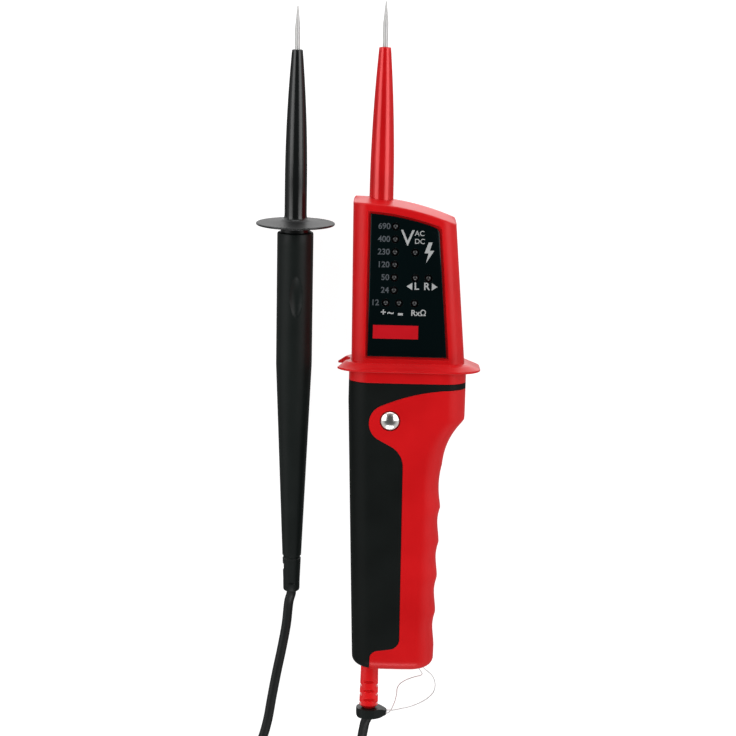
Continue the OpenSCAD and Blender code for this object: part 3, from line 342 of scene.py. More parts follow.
# Places that follow from the driving sizes
RIDGE_TOP = RIDGE_FIRST + (RIDGES - 1) * RIDGE_PITCH
RIDGE_FADE = 0.47 * SHOULDER_H
SHOULDER_LOW = RIDGE_TOP + SHOULDER_START * SHOULDER_H
SHOULDER_RUN = 0.95 * (1 - SHOULDER_START) * SHOULDER_H
NECK_RIGHT = NECK_W - AXIS_INSET
ROOT_Y = GRIP_LEN + ROOT_T
CREST_Y = GRIP_LEN + HEAD_H
CROWN_R = CROWN_BEND * HEAD_H
CROWN_Y = CREST_Y - CROWN_R
TIP_Y = CREST_Y + SLEEVE_LEN + NEEDLE_OUT
WINDOW_FOOT = ROOT_Y + WINDOW_BOTTOM
WINDOW_FLOOR = HEAD_HALF_D - WINDOW_RECESS - WINDOW_T
WINDOW_FACE = WINDOW_FLOOR + WINDOW_T
ELECTRODE_Y = GRIP_LEN - ELECTRODE_DROP
DISC_Y = HANDLE_LEN + DISC_LIFT
SECOND_BASE = DISC_Y + SECOND_SLEEVE_LEN
LED_TOP = CREST_Y - LED_DROP
LED_LAST = LED_TOP - LED_ROWS * LED_PITCH
LED_RIGHT = LED_COLUMN + LED_SECOND
MAIN_TILT = math.atan((GUARD_HALF_D - HALF_D) / (GRIP_LEN - END_ROUND))
MAIN_LIFT = HALF_D * math.cos(MAIN_TILT) - END_ROUND * math.sin(MAIN_TILT)
MAIN_FOOT = (4.3 * MM, -136 * MM, MAIN_LIFT)
MAIN = Matrix.Translation(MAIN_FOOT) @ Matrix.Rotation(MAIN_TILT, 4, "X")
SECOND_TILT = math.atan((DISC_R - TAIL_R) / (DISC_Y - TAIL_HEEL))
SECOND_LIFT = TAIL_R * math.cos(SECOND_TILT) - TAIL_HEEL * math.sin(SECOND_TILT)
SECOND_FOOT = (-29.5 * MM, -108.8 * MM, SECOND_LIFT)
SECOND_TURN = math.radians(0.26)
SECOND = (Matrix.Translation(SECOND_FOOT) @ Matrix.Rotation(SECOND_TURN, 4, "Z")
    @ Matrix.Rotation(SECOND_TILT, 4, "X"))


def add_object(name, data):
    obj = bpy.data.objects.new(name, data)
    bpy.context.collection.objects.link(obj)
    return obj


def make_camera():
    camera = add_object("camera", bpy.data.cameras.new("camera"))
    camera.data.lens = LENS
    camera.data.sensor_width = SENSOR
    camera.data.clip_start = CAMERA_NEAR
    camera.data.clip_end = CAMERA_FAR
    back = Vector((0, math.sin(CAMERA_TIP), math.cos(CAMERA_TIP)))
    level = Vector((1, 0, 0))
    upright = back.cross(level)
    right = math.cos(CAMERA_ROLL) * level + math.sin(CAMERA_ROLL) * upright
    up = -math.sin(CAMERA_ROLL) * level + math.cos(CAMERA_ROLL) * upright
    turn = Matrix((right, up, back)).transposed().to_4x4()
    camera.matrix_world = Matrix.Translation(CAMERA_AT) @ turn
    bpy.context.scene.camera = camera


# Paths and cords


def clamp(a, low, high):
    return max(low, min(high, a))


def smooth_path(points, step):
    """A Catmull-Rom curve through the points, with a point about every step."""
    pts = [np.array(p, float) for p in points]
    pts = [2 * pts[0] - pts[1]] + pts + [2 * pts[-1] - pts[-2]]
    out = []
    for a, b, c, d in zip(pts, pts[1:], pts[2:], pts[3:]):
        knots = [0.0]
        for p, q in ((a, b), (b, c), (c, d)):
            knots.append(knots[-1] + max(1e-9, np.linalg.norm(q - p)) ** 0.5)
        count = max(2, math.ceil(np.linalg.norm(c - b) / step))
        for i in range(count):
            t = knots[1] + (knots[2] - knots[1]) * i / count
            ab = blend(a, b, knots[0], knots[1], t)
            bc = blend(b, c, knots[1], knots[2], t)
            cd = blend(c, d, knots[2], knots[3], t)
            abc = blend(ab, bc, knots[0], knots[2], t)
            bcd = blend(bc, cd, knots[1], knots[3], t)
            out.append(blend(abc, bcd, knots[1], knots[2], t))
    out.append(pts[-2])
    return out


def blend(p, q, low, high, t):
    return p + (q - p) * (t - low) / (high - low)


def coil_points():
    """Clockwise turns, in to the middle on the floor and out again on top."""
    low, high = COIL_LAYER_Z
    total = 2 * (COIL_TURNS + COIL_CHANGE)
    out = []
    steps = round(total * COIL_STEPS)
    for i in range(steps + 1):
        turn = total * i / steps
        climb = clamp((turn - COIL_TURNS) / COIL_CHANGE, 0, 1)
        z = low + (high - low) * (3 * climb ** 2 - 2 * climb ** 3)
        inward = min(turn, COIL_TURNS) / COIL_TURNS
        outward = clamp((turn - COIL_TURNS - COIL_CHANGE) / COIL_TURNS, 0, 1)
        r = COIL_OUTER + (COIL_INNER - COIL_OUTER) * (inward - outward)
        angle = -2 * math.pi * turn
        out.append((COIL_AT[0] + r * math.cos(angle), COIL_AT[1] + r * math.sin(angle), z))
    return out


def tube(name, points, radius, resolution=6):
    """A curve with a round section along the points."""
    curve = bpy.data.curves.new(name, "CURVE")
    curve.dimensions = "3D"
    curve.bevel_depth = radius
    curve.bevel_resolution = resolution
    curve.use_fill_caps = True
    line = curve.splines.new("POLY")
    line.points.add(len(points) - 1)
    for slot, p in zip(line.points, points):
        slot.co = (*p, 1)
    line.use_smooth = True
    return add_object(name, curve)


def make_lead(material):
    points = smooth_path(MAIN_ROUTE[:-1] + coil_points() + PROBE_ROUTE, LEAD_STEP)
    lead = tube("lead", points, LEAD_R)
    lead.data.materials.append(material)
    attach(lead, "root")
    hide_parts("lead_main_run", "lead_coil", "lead_probe_run")


def make_thread(material):
    route = [MAIN @ (Vector(p) * MM) for p in THREAD_ROUTE]
    points = smooth_path(route, THREAD_STEP)
    thread = tube("thread", points, THREAD_R, resolution=3)
    thread.data.materials.append(material)
    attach(thread, "root")
    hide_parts("tether_thread")


# Form of the grip and head, as in the CAD source


def soft_min(a, b, k):
    return (a + b - math.sqrt((a - b) ** 2 + k * k)) / 2


def grip_left(y):
    return -AXIS_INSET + LEFT_TAPER * max(0, 1 - y / (GRIP_LEN - LEFT_TAPER_DROP))


def grip_right(y):
    line = FINGER_REACH - RIGHT_TAPER * (1 - clamp(y / RIDGE_TOP, 0, 1))
    t = clamp((y - SHOULDER_LOW) / SHOULDER_RUN, 0, 2)
    return line + (NECK_RIGHT - line) * max(0, soft_min(t ** SHOULDER_LIFT, 1, SHOULDER_BLEND))


def hollow(y):
    """Depth of the finger side's hollows, steep under each ridge and slow below."""
    if y > RIDGE_TOP:
        return RIDGE_DEPTH * math.sin(math.pi * clamp((y - RIDGE_TOP) / RIDGE_FADE, 0, 1))
    if y < RIDGE_FIRST:
        return 0
    part = ((y - RIDGE_FIRST) / RIDGE_PITCH) % 1
    return RIDGE_DEPTH * math.sin(math.pi * part ** RIDGE_LEAN)


def head_left(y):
    return -AXIS_INSET + HEAD_STEP - HEAD_LEAN * (y - GRIP_LEN) / HEAD_H


def head_right(y):
    return NECK_RIGHT - HEAD_STEP_RIGHT - HEAD_TAPER * (y - GRIP_LEN) / HEAD_H


def crown(x, drop):
    return CROWN_Y + math.sqrt((CROWN_R - drop) ** 2 - (x + CREST_LEFT) ** 2)


def half_section(left, right, h, rw, rd, bulge, dent, foot, steps=EDGE_STEPS, across=TOP_STEPS):
    """Section of one half, from the left foot over the top to the right foot, as (x, z) points."""
    mid, half_w = (left + right) / 2, (right - left) / 2
    points = []
    for i in range(steps + 1):
        a = math.pi / 2 * i / steps
        points.append((left + rw * (1 - math.cos(a)), h - rd * (1 - math.sin(a)), 0))
    for i in range(1, across):
        points.append((left + rw + (right - left - 2 * rw) * i / across, h, 0))
    for i in range(steps, -1, -1):
        a = math.pi / 2 * i / steps
        points.append((right - rw * (1 - math.cos(a)), h - rd * (1 - math.sin(a)), math.cos(a)))
    out = []
    for x, z, side in points:
        raised = z + bulge * max(0, 1 - ((x - mid) / half_w) ** 2) * (z / h) ** 2
        out.append((x - dent * side, raised))
    first, last = out[0], out[-1]
    lift = [k / SIDE_STEPS for k in range(SIDE_STEPS)]
    left_side = [(left, foot + (first[1] - foot) * t) for t in lift]
    right_side = [(right - dent, foot + (last[1] - foot) * t) for t in reversed(lift)]
    return left_side + out + right_side


def grip_ring(y, inset, bulge, dented, foot, at):
    dent = hollow(y) if dented else 0
    section = half_section(grip_left(y) + inset, grip_right(y) - inset, HALF_D - inset,
        EDGE_W - inset / 2, EDGE_D - inset / 2, bulge, dent, foot)
    return [(x, at, z) for x, z in section]


def grip_solid(name, inset, bulge, dented, foot, low, high, step=FINE_STEP):
    """One half of the grip's form, drawn in by an inset, from low to high along the needle."""
    rings = []
    for a in END_ANGLES:
        turn = math.radians(a)
        rings.append(grip_ring(END_ROUND, inset + END_ROUND * (1 - math.cos(turn)), bulge, dented, foot,
            low + END_ROUND * (1 - math.sin(turn))))
    count = round((high - low - END_ROUND) / step)
    for i in range(count + 1):
        y = low + END_ROUND + (high - low - END_ROUND) * i / count
        rings.append(grip_ring(y, inset, bulge, dented, foot, y))
    return loft(name, rings)


def head_section(left, right, front):
    height = HEAD_HALF_D - front
    section = half_section(left, right, height, HEAD_EDGE, min(HEAD_EDGE, height), 0, 0, 0,
        HEAD_EDGE_STEPS, HEAD_TOP_STEPS)
    return section[SIDE_STEPS:-SIDE_STEPS]


def head_end():
    """Rounded front edge and leaning end wall of the head, as (below the crest, below the face) pairs."""
    lean = math.atan(TOP_DRAFT / HEAD_HALF_D)
    edge_foot = TOP_DRAFT * (HEAD_HALF_D - TOP_EDGE) / HEAD_HALF_D + TOP_EDGE / math.cos(lean)
    turns = [(math.pi / 2 - lean) * i / HEAD_END_STEPS for i in range(HEAD_END_STEPS + 1)]
    out = [(edge_foot - TOP_EDGE * math.sin(a), TOP_EDGE * (1 - math.cos(a))) for a in turns]
    for i in range(1, HEAD_WALL_STEPS + 1):
        z = HEAD_HALF_D - TOP_EDGE - (HEAD_HALF_D - TOP_EDGE - TOP_BAND) * i / HEAD_WALL_STEPS
        out.append((TOP_DRAFT * z / HEAD_HALF_D, HEAD_HALF_D - z))
    return out


def head_solid(name, inset, front, foot, top_round, drop):
    """One half of the head up to its arched crown. With top_round, the crown has its leaning end wall."""
    def ring(y, corner, sweep, fall):
        level = y or CREST_Y - CREST_LEFT
        section = head_section(head_left(level) + inset + corner, head_right(level) - inset - corner,
            front + sweep)
        top = [(x, y or crown(x, drop) - fall, z) for x, z in section]
        return top + [(x, at, foot) for x, at, z in reversed(top)]
    rings = [ring(GRIP_LEN + RIM_T / 2 if foot == 0 else GRIP_LEN - 1.5 * PAST, 0, 0, 0)]
    if not top_round:
        rings.append(ring(None, 0, 0, 0))
    for fall, sweep in head_end() if top_round else []:
        up = math.asin(max(0, 1 - fall / top_round))
        rings.append(ring(None, TOP_CORNER * (1 - math.cos(up)), sweep, fall))
    return loft(name, rings, strips=True)


# Meshes


def mesh_object(name, verts, faces):
    mesh = bpy.data.meshes.new(name)
    mesh.from_pydata([tuple(v) for v in verts], [], faces)
    bm = bmesh.new()
    bm.from_mesh(mesh)
    bmesh.ops.recalc_face_normals(bm, faces=bm.faces)
    bm.to_mesh(mesh)
    bm.free()
    return add_object(name, mesh)


def loft(name, rings, strips=False):
    """A solid through rings of equal count. With strips, quads from edge to edge close its ends."""
    n, m = len(rings[0]), len(rings)
    verts = [p for ring in rings for p in ring]
    faces = []
    for k in range(m - 1):
        for i in range(n):
            j = (i + 1) % n
            faces.append((k * n + i, k * n + j, (k + 1) * n + j, (k + 1) * n + i))
    if strips:
        for base in (0, (m - 1) * n):
            faces += [(base + i, base + i + 1, base + n - 2 - i, base + n - 1 - i)
                for i in range(n // 2 - 1)]
    else:
        faces += [tuple(range(n)), tuple(range((m - 1) * n, m * n))]
    return mesh_object(name, verts, faces)


def prism(name, outline, low, high):
    """The outline, as (x, y) points, between two heights."""
    return loft(name, [[(x, y, low) for x, y in outline], [(x, y, high) for x, y in outline]])


def circle_points(r, x, y, sides):
    turns = [2 * math.pi * i / sides for i in range(sides)]
    return [(x + r * math.cos(a), y + r * math.sin(a)) for a in turns]


def rod(name, r, low, high, x=0, z=0, sides=64):
    """A round bar along y."""
    circle = circle_points(r, x, z, sides)
    return loft(name, [[(px, low, pz) for px, pz in circle], [(px, high, pz) for px, pz in circle]])


def post(name, r, x, y, low, high, sides=48):
    """A round bar along z."""
    return prism(name, circle_points(r, x, y, sides), low, high)


def block(name, x0, x1, y0, y1, z0, z1):
    return prism(name, [(x0, y0), (x1, y0), (x1, y1), (x0, y1)], z0, z1)


def turned(name, profile, sides=96):
    """A turned solid about y, from (r, y) points that start and end on the axis."""
    inner = profile[1:-1]
    verts = [(0, profile[0][1], 0), (0, profile[-1][1], 0)]
    for r, y in inner:
        verts += [(x, y, z) for x, z in circle_points(r, 0, 0, sides)]
    faces = []
    for k in range(len(inner) - 1):
        for i in range(sides):
            j = (i + 1) % sides
            a, b = 2 + k * sides, 2 + (k + 1) * sides
            faces.append((a + i, a + j, b + j, b + i))
    for i in range(sides):
        j = (i + 1) % sides
        last = 2 + (len(inner) - 1) * sides
        faces += [(0, 2 + i, 2 + j), (1, last + i, last + j)]
    return mesh_object(name, verts, faces)


def combine(operation, obj, *others):
    """Boolean of closed meshes. The others are used up."""
    for other in others:
        modifier = obj.modifiers.new(operation, "BOOLEAN")
        modifier.operation = operation
        modifier.object = other
        modifier.solver = "MANIFOLD"
        shown = obj.evaluated_get(bpy.context.evaluated_depsgraph_get())
        mesh = bpy.data.meshes.new_from_object(shown)
        obj.modifiers.clear()
        obj.data = mesh
        bpy.data.objects.remove(other)
    return obj


def cut(obj, *others):
    return combine("DIFFERENCE", obj, *others)


def mirrored(obj):
    """The same solid turned over to the back."""
    for v in obj.data.vertices:
        v.co.z = -v.co.z
    obj.data.flip_normals()
    return obj


def settle(obj, place, material, nodes=()):
    obj.data.shade_smooth()
    obj.data.set_sharp_from_angle(angle=SHARP_ANGLE)
    obj.data.materials.clear()
    obj.data.materials.append(material)
    obj.data.transform(place)
    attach(obj, "root")
    if nodes:
        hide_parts(*nodes)
    return obj


# Outlines


def corner_arc(a, b, c, r, step=6):
    """The arc of radius r that rounds the corner b between a and c, in steps of some degrees."""
    a, b, c = (np.array(p[:2], float) for p in (a, b, c))
    u = (a - b) / np.linalg.norm(a - b)
    v = (c - b) / np.linalg.norm(c - b)
    half = math.acos(clamp(float(u @ v), -1, 1)) / 2
    mid = (u + v) / np.linalg.norm(u + v)
    centre = b + mid * r / math.sin(half)
    start = b + u * r / math.tan(half)
    first = math.atan2(start[1] - centre[1], start[0] - centre[0])
    sweep = (-1 if u[0] * v[1] - u[1] * v[0] > 0 else 1) * (math.pi - 2 * half)
    count = max(2, math.ceil(abs(math.degrees(sweep)) / step))
    turns = [first + sweep * i / count for i in range(count + 1)]
    return [tuple(centre + r * np.array([math.cos(a), math.sin(a)])) for a in turns]


def rounded(points, step=6):
    out = []
    for i, b in enumerate(points):
        a, c = points[i - 1], points[(i + 1) % len(points)]
        out += corner_arc(a, b, c, b[2], step) if b[2] > 0 else [tuple(b[:2])]
    return out


def pad_outline(gap):
    """The pads' outline from the front, past the grip's edges. A gap draws it in from the red parts."""
    high = GRIP_LEN - NECK_BAND - gap
    top = GRIP_LEN - NECK_BAND - PAD_BAND + gap
    lobe_left = ELECTRODE_X - LOBE_R - LOBE_MARGIN - gap
    edge = PAD_EDGE - gap
    end_left = -PAD_END_SHIFT - gap
    left, right, below = PAD_SPACE
    line = [(right, top, 0), (lobe_left + PAD_BAND_RUN, top, PAD_BAND_R),
        (lobe_left, ELECTRODE_Y + LOBE_TOP, LOBE_R), (lobe_left, ELECTRODE_Y - LOBE_FOOT, LOBE_R),
        (edge, ELECTRODE_Y - PAD_EDGE_DROP, PAD_EDGE_R), (edge + PAD_EDGE_LEAN, PAD_FOOT, PAD_FOOT_R),
        (end_left, PAD_FOOT - PAD_FOOT_STEP, PAD_FOOT_STEP_R), (end_left, PAD_END, PAD_END_R),
        (PAD_END_SHIFT - gap, below, 0), (left, below, 0), (left, high, 0), (right, high, 0)]
    return rounded(line, step=3)


def window_outline(gap):
    """The window's outline, wider by the gap."""
    left = head_left(ROOT_Y) + WINDOW_LEFT
    foot_x = head_right(WINDOW_FOOT) - WINDOW_RIGHT
    corner_x = head_right(CREST_Y - WINDOW_CORNER_DROP) - WINDOW_RIGHT
    points = [(left - gap, WINDOW_FOOT - gap), (left - gap, crown(left, WINDOW_TOP) + gap)]
    for i in range(1, WINDOW_STEPS):
        x = left + i / WINDOW_STEPS * (corner_x - WINDOW_CORNER_RUN - left)
        points.append((x, crown(x, WINDOW_TOP) + gap))
    corner = corner_arc((0, crown(0, WINDOW_TOP)), (corner_x, crown(corner_x, WINDOW_TOP)),
        (foot_x, WINDOW_FOOT), WINDOW_CORNER)
    points += [(x + gap, y + gap) for x, y in corner]
    points.append((foot_x + gap, WINDOW_FOOT - gap))
    return points


def light_spots():
    """Centres of the round lights, seen from the front."""
    column = [(LED_COLUMN, LED_TOP - i * LED_PITCH) for i in range(LED_ROWS)]
    polarity = [(LED_COLUMN - POLARITY_SHIFT + side * LED_PAIR / 2, LED_LAST) for side in (-1, 1)]
    phase = [(LED_RIGHT - PHASE_SHIFT, LED_TOP - 2 * LED_PITCH)]
    rotation = [(LED_RIGHT + i * LED_PAIR, LED_TOP - 4 * LED_PITCH) for i in range(2)]
    return column + polarity + phase + rotation + [(LED_RIGHT, LED_LAST)]


def guard_half(name):
    """One half of the guard: a thin rounded rim that thickens to its root, with the notch on the left."""
    slope = GUARD_HALF_D - HEAD_HALF_D - ROOT_STEP
    start = RIM_EDGE * MM

    def level(y, inset, finger=0):
        low, high, deep = GUARD_LEFT - inset, GUARD_RIGHT - inset - finger, GUARD_HALF_D - inset
        corner = GUARD_CORNER - inset
        corners = [(-low, 0, 0), (-low, deep, corner), (high, deep, corner), (high, 0, 0)]
        return [(x, y, z) for x, z in rounded(corners, step=5)]
    rings = [level(GRIP_LEN + y * RIM_T, inset * MM) for y, inset in RIM_PROFILE]
    for t in (0.5, 1):
        y = GRIP_LEN + RIM_T + (ROOT_T - RIM_T) * t
        rings.append(level(y, start + (slope - start) * t, FINGER_SLOPE * t))
    notch_x = -AXIS_INSET + HEAD_STEP - NOTCH_WALL - NOTCH_R
    notch = rod("notch", NOTCH_R, GRIP_LEN - PAST, ROOT_Y + PAST, notch_x, sides=128)
    return cut(loft(name, rings), notch)


def shell_half(name, bulge, front_wall):
    """One shell without its small holes: the hollow grip beside the pads, the guard and the head."""
    shell = grip_solid(name, 0, bulge, True, 0, 0, GRIP_LEN + RIM_T / 2)
    cut(shell, cut(pad_space(0), under_pad(bulge)))
    combine("UNION", shell, guard_half("guard"), head_solid("head", 0, 0, 0, TOP_ROUND, 0))
    cut(shell, grip_solid("grip hollow", PAD_T + SHELL_WALL, bulge, False, -PAST, END_WALL,
        GRIP_LEN - PAST, COARSE_STEP))
    cut(shell, head_solid("head hollow", SHELL_WALL, front_wall, -PAST, 0, HEAD_WALL))
    return cut(shell, rod("sleeve bore", SLEEVE_R + GAP, CREST_Y - 2 * FAR_PAST, CREST_Y + 2 * FAR_PAST),
        relief_bore())


def pad_half(name, bulge):
    pad = grip_solid(name, 0, bulge, True, 0, 0, GRIP_LEN + RIM_T / 2)
    combine("INTERSECT", pad, pad_space(2 * GAP))
    return cut(pad, under_pad(bulge), relief_bore())


def pad_space(gap):
    return prism("pad space", pad_outline(gap), -PAST / 2, HALF_D + FAR_PAST)


def under_pad(bulge):
    return grip_solid("under pad", PAD_T, bulge, False, -PAST, PAD_T, GRIP_LEN + FAR_PAST, COARSE_STEP)


def relief_bore():
    return rod("relief bore", RELIEF_NECK_R + GAP, -PAST, END_WALL + 2 * PAST)


def node_points(name):
    """Corners of a CAD node's mesh in the main unit's own frame."""
    node = bpy.data.objects[name]
    return [MAIN.inverted() @ (node.matrix_world @ v.co) for v in node.data.vertices]


def node_box(name):
    """Lowest and highest corner of a CAD node in the main unit's own frame."""
    points = node_points(name)
    return [Vector([f(p[k] for p in points) for k in range(3)]) for f in (min, max)]


def screw_spots():
    """Centres of the case screws, found from the four heads of the CAD node."""
    low, high = node_box("case_screws")
    mid = (low.x + high.x) / 2
    spots = []
    for right in (False, True):
        for upper in (False, True):
            group = [p for p in node_points("case_screws")
                if (p.x > mid) == right and (p.y > GRIP_LEN) == upper]
            spots.append([(max(p[k] for p in group) + min(p[k] for p in group)) / 2 for k in range(2)])
    return spots


def door_prism(name, low, high, gap, foot, floor):
    """The battery door's form from its floor outwards, wider by the gap and drawn in at its foot."""
    left, right, top, bottom = low.x - gap, high.x + gap, high.y + gap, low.y + foot
    corners = [(left, bottom), (left, top), (right, top), (right, bottom)]
    return prism(name, rounded([(x, y, DOOR_CORNER) for x, y in corners]), floor, ABOVE)


def make_front_shell(red):
    front = shell_half("front-shell", FRONT_CROWN, HEAD_WALL)
    groove_z = WINDOW_FACE - WINDOW_GROOVE_DEPTH
    rim = [(GAP, WINDOW_FLOOR), (GAP, groove_z), (WINDOW_GROOVE, groove_z + WINDOW_GROOVE_RISE),
        (WINDOW_RIM, HEAD_HALF_D), (WINDOW_RIM, HEAD_HALF_D + FAR_PAST)]
    cut(front, loft("window space", [[(x, y, z) for x, y in window_outline(gap)] for gap, z in rim]))
    for x, y in light_spots():
        cut(front, post("light hole", LED_R + LED_HOLE_GAP, x, y, HEAD_HALF_D - FAR_PAST, HEAD_HALF_D))
    cut(front, post("electrode hole", ELECTRODE_R + ELECTRODE_GAP, ELECTRODE_X, ELECTRODE_Y, FAR_PAST,
        ABOVE, sides=96))
    for x in THREAD_HOLES:
        cut(front, rod("thread hole", THREAD_HOLE_R, -PAST, THREAD_HOLE_DEPTH, x, THREAD_HOLE_Z, sides=24))
    settle(front, MAIN, red, ["front_shell"])


def make_rear_shell(red):
    rear = shell_half("rear-shell", 0, SHELL_WALL)
    cut(rear, door_prism("door space", *node_box("battery_door"), 2 * GAP, DOOR_SPACE_FOOT, DOOR_FLOOR))
    for x, y in screw_spots():
        cut(rear, post("screw hole", CASE_SCREW_HOLE_R, x, y, CASE_SCREW_SEAT, ABOVE))
    settle(mirrored(rear), MAIN, red, ["rear_shell"])


def make_pads(black):
    settle(pad_half("front-grip-pad", FRONT_CROWN), MAIN, black, ["front_grip_pad"])
    pad = pad_half("rear-grip-pad", 0)
    cut(pad, door_prism("door space", *node_box("battery_door"), 2 * GAP, DOOR_SPACE_FOOT, FAR_PAST))
    for x, y in screw_spots():
        cut(pad, post("screw hole", CASE_SCREW_HOLE_R, x, y, FAR_PAST, ABOVE))
    settle(mirrored(pad), MAIN, black, ["rear_grip_pad"])


def make_battery_door(hard):
    cover = grip_solid("battery-door", 0, 0, True, 0, 0, GRIP_LEN + RIM_T / 2)
    combine("INTERSECT", cover, door_prism("door", *node_box("battery_door"), 0, DOOR_FOOT, DOOR_FLOOR))
    low, high = node_box("door_screw")
    cut(cover, post("screw hole", DOOR_SCREW_HOLE_R, (low.x + high.x) / 2, (low.y + high.y) / 2,
        DOOR_SCREW_SEAT, ABOVE))
    settle(mirrored(cover), MAIN, hard, ["battery_door"])


def make_window(material):
    """Black sheet with bevelled edges and holes for the lights."""
    edge = [(0, WINDOW_FLOOR), (0, WINDOW_FACE - WINDOW_BEVEL / 2), (-WINDOW_BEVEL, WINDOW_FACE)]
    window = loft("display-window", [[(x, y, z) for x, y in window_outline(gap)] for gap, z in edge])
    for x, y in light_spots():
        hole = post("light hole", LED_R + LED_WINDOW_GAP, x, y, WINDOW_FLOOR - PAST, WINDOW_FACE + PAST)
        cut(window, hole)
    settle(window, MAIN, material, ["display_window"])


def make_electrode(material):
    """Domed cap with a rounded shoulder."""
    top = HALF_D + FRONT_CROWN - ELECTRODE_SINK
    profile = [(0, top - ELECTRODE_RIM), (ELECTRODE_R, top - ELECTRODE_RIM),
        (ELECTRODE_R, top - ELECTRODE_LIP)]
    ball = (ELECTRODE_R ** 2 + DOME_H ** 2) / (2 * DOME_H)
    reach = math.asin((ELECTRODE_R - DOME_EDGE) / (ball - DOME_EDGE))
    for i in range(DOME_EDGE_STEPS):
        a = math.pi / 2 - (math.pi / 2 - reach) * i / DOME_EDGE_STEPS
        profile.append((ELECTRODE_R - DOME_EDGE + DOME_EDGE * math.sin(a),
            top + DOME_H - ball + (ball - DOME_EDGE) * math.cos(reach) + DOME_EDGE * math.cos(a)))
    for i in range(DOME_STEPS):
        a = reach * (1 - i / DOME_STEPS)
        profile.append((ball * math.sin(a), top + DOME_H - ball * (1 - math.cos(a))))
    profile.append((0, top + DOME_H))
    dome = turned("touch-electrode", profile)
    spot = Matrix.Translation((ELECTRODE_X, ELECTRODE_Y, 0))
    dome.data.transform(spot @ Matrix.Rotation(math.pi / 2, 4, "X"))
    settle(dome, MAIN, material, ["touch_electrode"])


def ogive(base_r, tip_r, low, high):
    """A sleeve's outline, straight at its base and narrower towards its tip."""
    bend = (high - low) ** 2 / (2 * (base_r - tip_r))
    heights = [low + (high - low) * i / SLEEVE_STEPS for i in range(SLEEVE_STEPS + 1)]
    return [(base_r - (y - low) ** 2 / (2 * bend), y) for y in heights]


def sleeve_end(tip_r, base):
    """Small bevel and flat end of a sleeve, where its needle comes out."""
    return [(tip_r - SLEEVE_EDGE_IN, base - SLEEVE_EDGE_IN), (tip_r - SLEEVE_EDGE, base), (0, base)]


def needle_profile(base, out):
    """A straight needle with a cone and a rounded tip."""
    root, tip = base - NEEDLE_ROOT, base + out
    profile = [(0, root), (NEEDLE_R, root), (NEEDLE_R, tip - NEEDLE_POINT),
        (NEEDLE_TIP_R, tip - NEEDLE_TIP_R)]
    for a in TIP_ANGLES:
        turn = math.radians(a)
        profile.append((NEEDLE_TIP_R * math.cos(turn), tip - NEEDLE_TIP_R * (1 - math.sin(turn))))
    return profile + [(0, tip)]


def make_main_probe(red, steel):
    base = TIP_Y - NEEDLE_OUT
    profile = [(0, CREST_Y - SLEEVE_ROOT), (SLEEVE_R, CREST_Y - SLEEVE_ROOT)]
    profile += ogive(SLEEVE_R, SLEEVE_TIP_R, CREST_Y + SLEEVE_EDGE, base - SLEEVE_EDGE)
    profile += sleeve_end(SLEEVE_TIP_R, base)
    settle(turned("main-sleeve", profile), MAIN, red, ["main_sleeve"])
    needle = turned("main-needle", needle_profile(base, NEEDLE_OUT), sides=48)
    settle(needle, MAIN, steel, ["main_needle"])


def make_second_probe(gloss, steel):
    """Sleeve with its finger disc as one turned moulding, and the needle."""
    rim = DISC_RIM / 2
    profile = [(0, DISC_Y - SPIGOT_DEPTH), (SPIGOT_R, DISC_Y - SPIGOT_DEPTH), (SPIGOT_R, HANDLE_LEN),
        (HUB_R, HANDLE_LEN)]
    profile += [(HUB_R + out * MM, DISC_Y + up * MM) for out, up in DISC_BACK]
    profile.append((DISC_R - DISC_FALL, DISC_Y - DISC_RIM + DISC_DISH))
    for i in range(RIM_STEPS + 1):
        a = math.pi * (i / RIM_STEPS - 0.5)
        profile.append((DISC_R - rim + rim * math.cos(a), DISC_Y - DISC_RIM_DROP + rim * math.sin(a)))
    profile.append((DISC_R - DISC_FACE_IN, DISC_Y + DISC_FACE_RISE))
    profile += [(SECOND_SLEEVE_R + out * MM, DISC_Y + up * MM) for out, up in DISC_NECK]
    profile += ogive(SECOND_SLEEVE_R, SECOND_TIP_R, DISC_Y + DISC_NECK_TOP, SECOND_BASE - SLEEVE_EDGE)
    profile += sleeve_end(SECOND_TIP_R, SECOND_BASE)
    settle(turned("second-sleeve", profile), SECOND, gloss, ["second_sleeve"])
    needle = turned("second-needle", needle_profile(SECOND_BASE, SECOND_NEEDLE_OUT), sides=48)
    settle(needle, SECOND, steel, ["second_needle"])


def handle_ring(y):
    """One ring of the handle, pressed in where the oval thumb hollow meets it."""
    heights, radii = zip(*HANDLE_PROFILE)
    r = float(np.interp(y, heights, radii))
    ball = ((DIMPLE_LEN / 2) ** 2 + DIMPLE_HALF_W ** 2) / (2 * DIMPLE_HALF_W)
    along = y - (HANDLE_LEN - DIMPLE_DROP)
    reach = math.sqrt(max(0, ball ** 2 - along ** 2)) - (ball - DIMPLE_HALF_W)
    ring = []
    for x, z in circle_points(r, 0, 0, sides=128):
        inside = reach ** 2 - (x - DIMPLE_SHIFT) ** 2
        if z > 0 and reach > 0 and inside > 0:
            z = min(z, HANDLE_R + DIMPLE_HALF_W - DIMPLE_DEPTH - math.sqrt(inside))
        ring.append((x, y, z))
    return ring


def make_second_handle(material):
    """Turned handle with an oval thumb hollow, a slot and a notch near its tail."""
    handle = loft("second-handle", [handle_ring(y) for y in sorted(set(m * MM for m in HANDLE_MARKS))])
    outside = TAIL_R + 2 * PAST
    half_w, low, high, depth = TAIL_SLOT
    cut(handle, block("slot", -half_w, half_w, low, high, TAIL_R - depth, outside))
    half_w, low, high, depth = TAIL_NOTCH
    cut(handle, block("notch", -outside, depth - TAIL_R, low, high, -half_w, half_w))
    settle(handle, SECOND, material, ["second_handle"])


# Legends on the window: plain numbers and signs


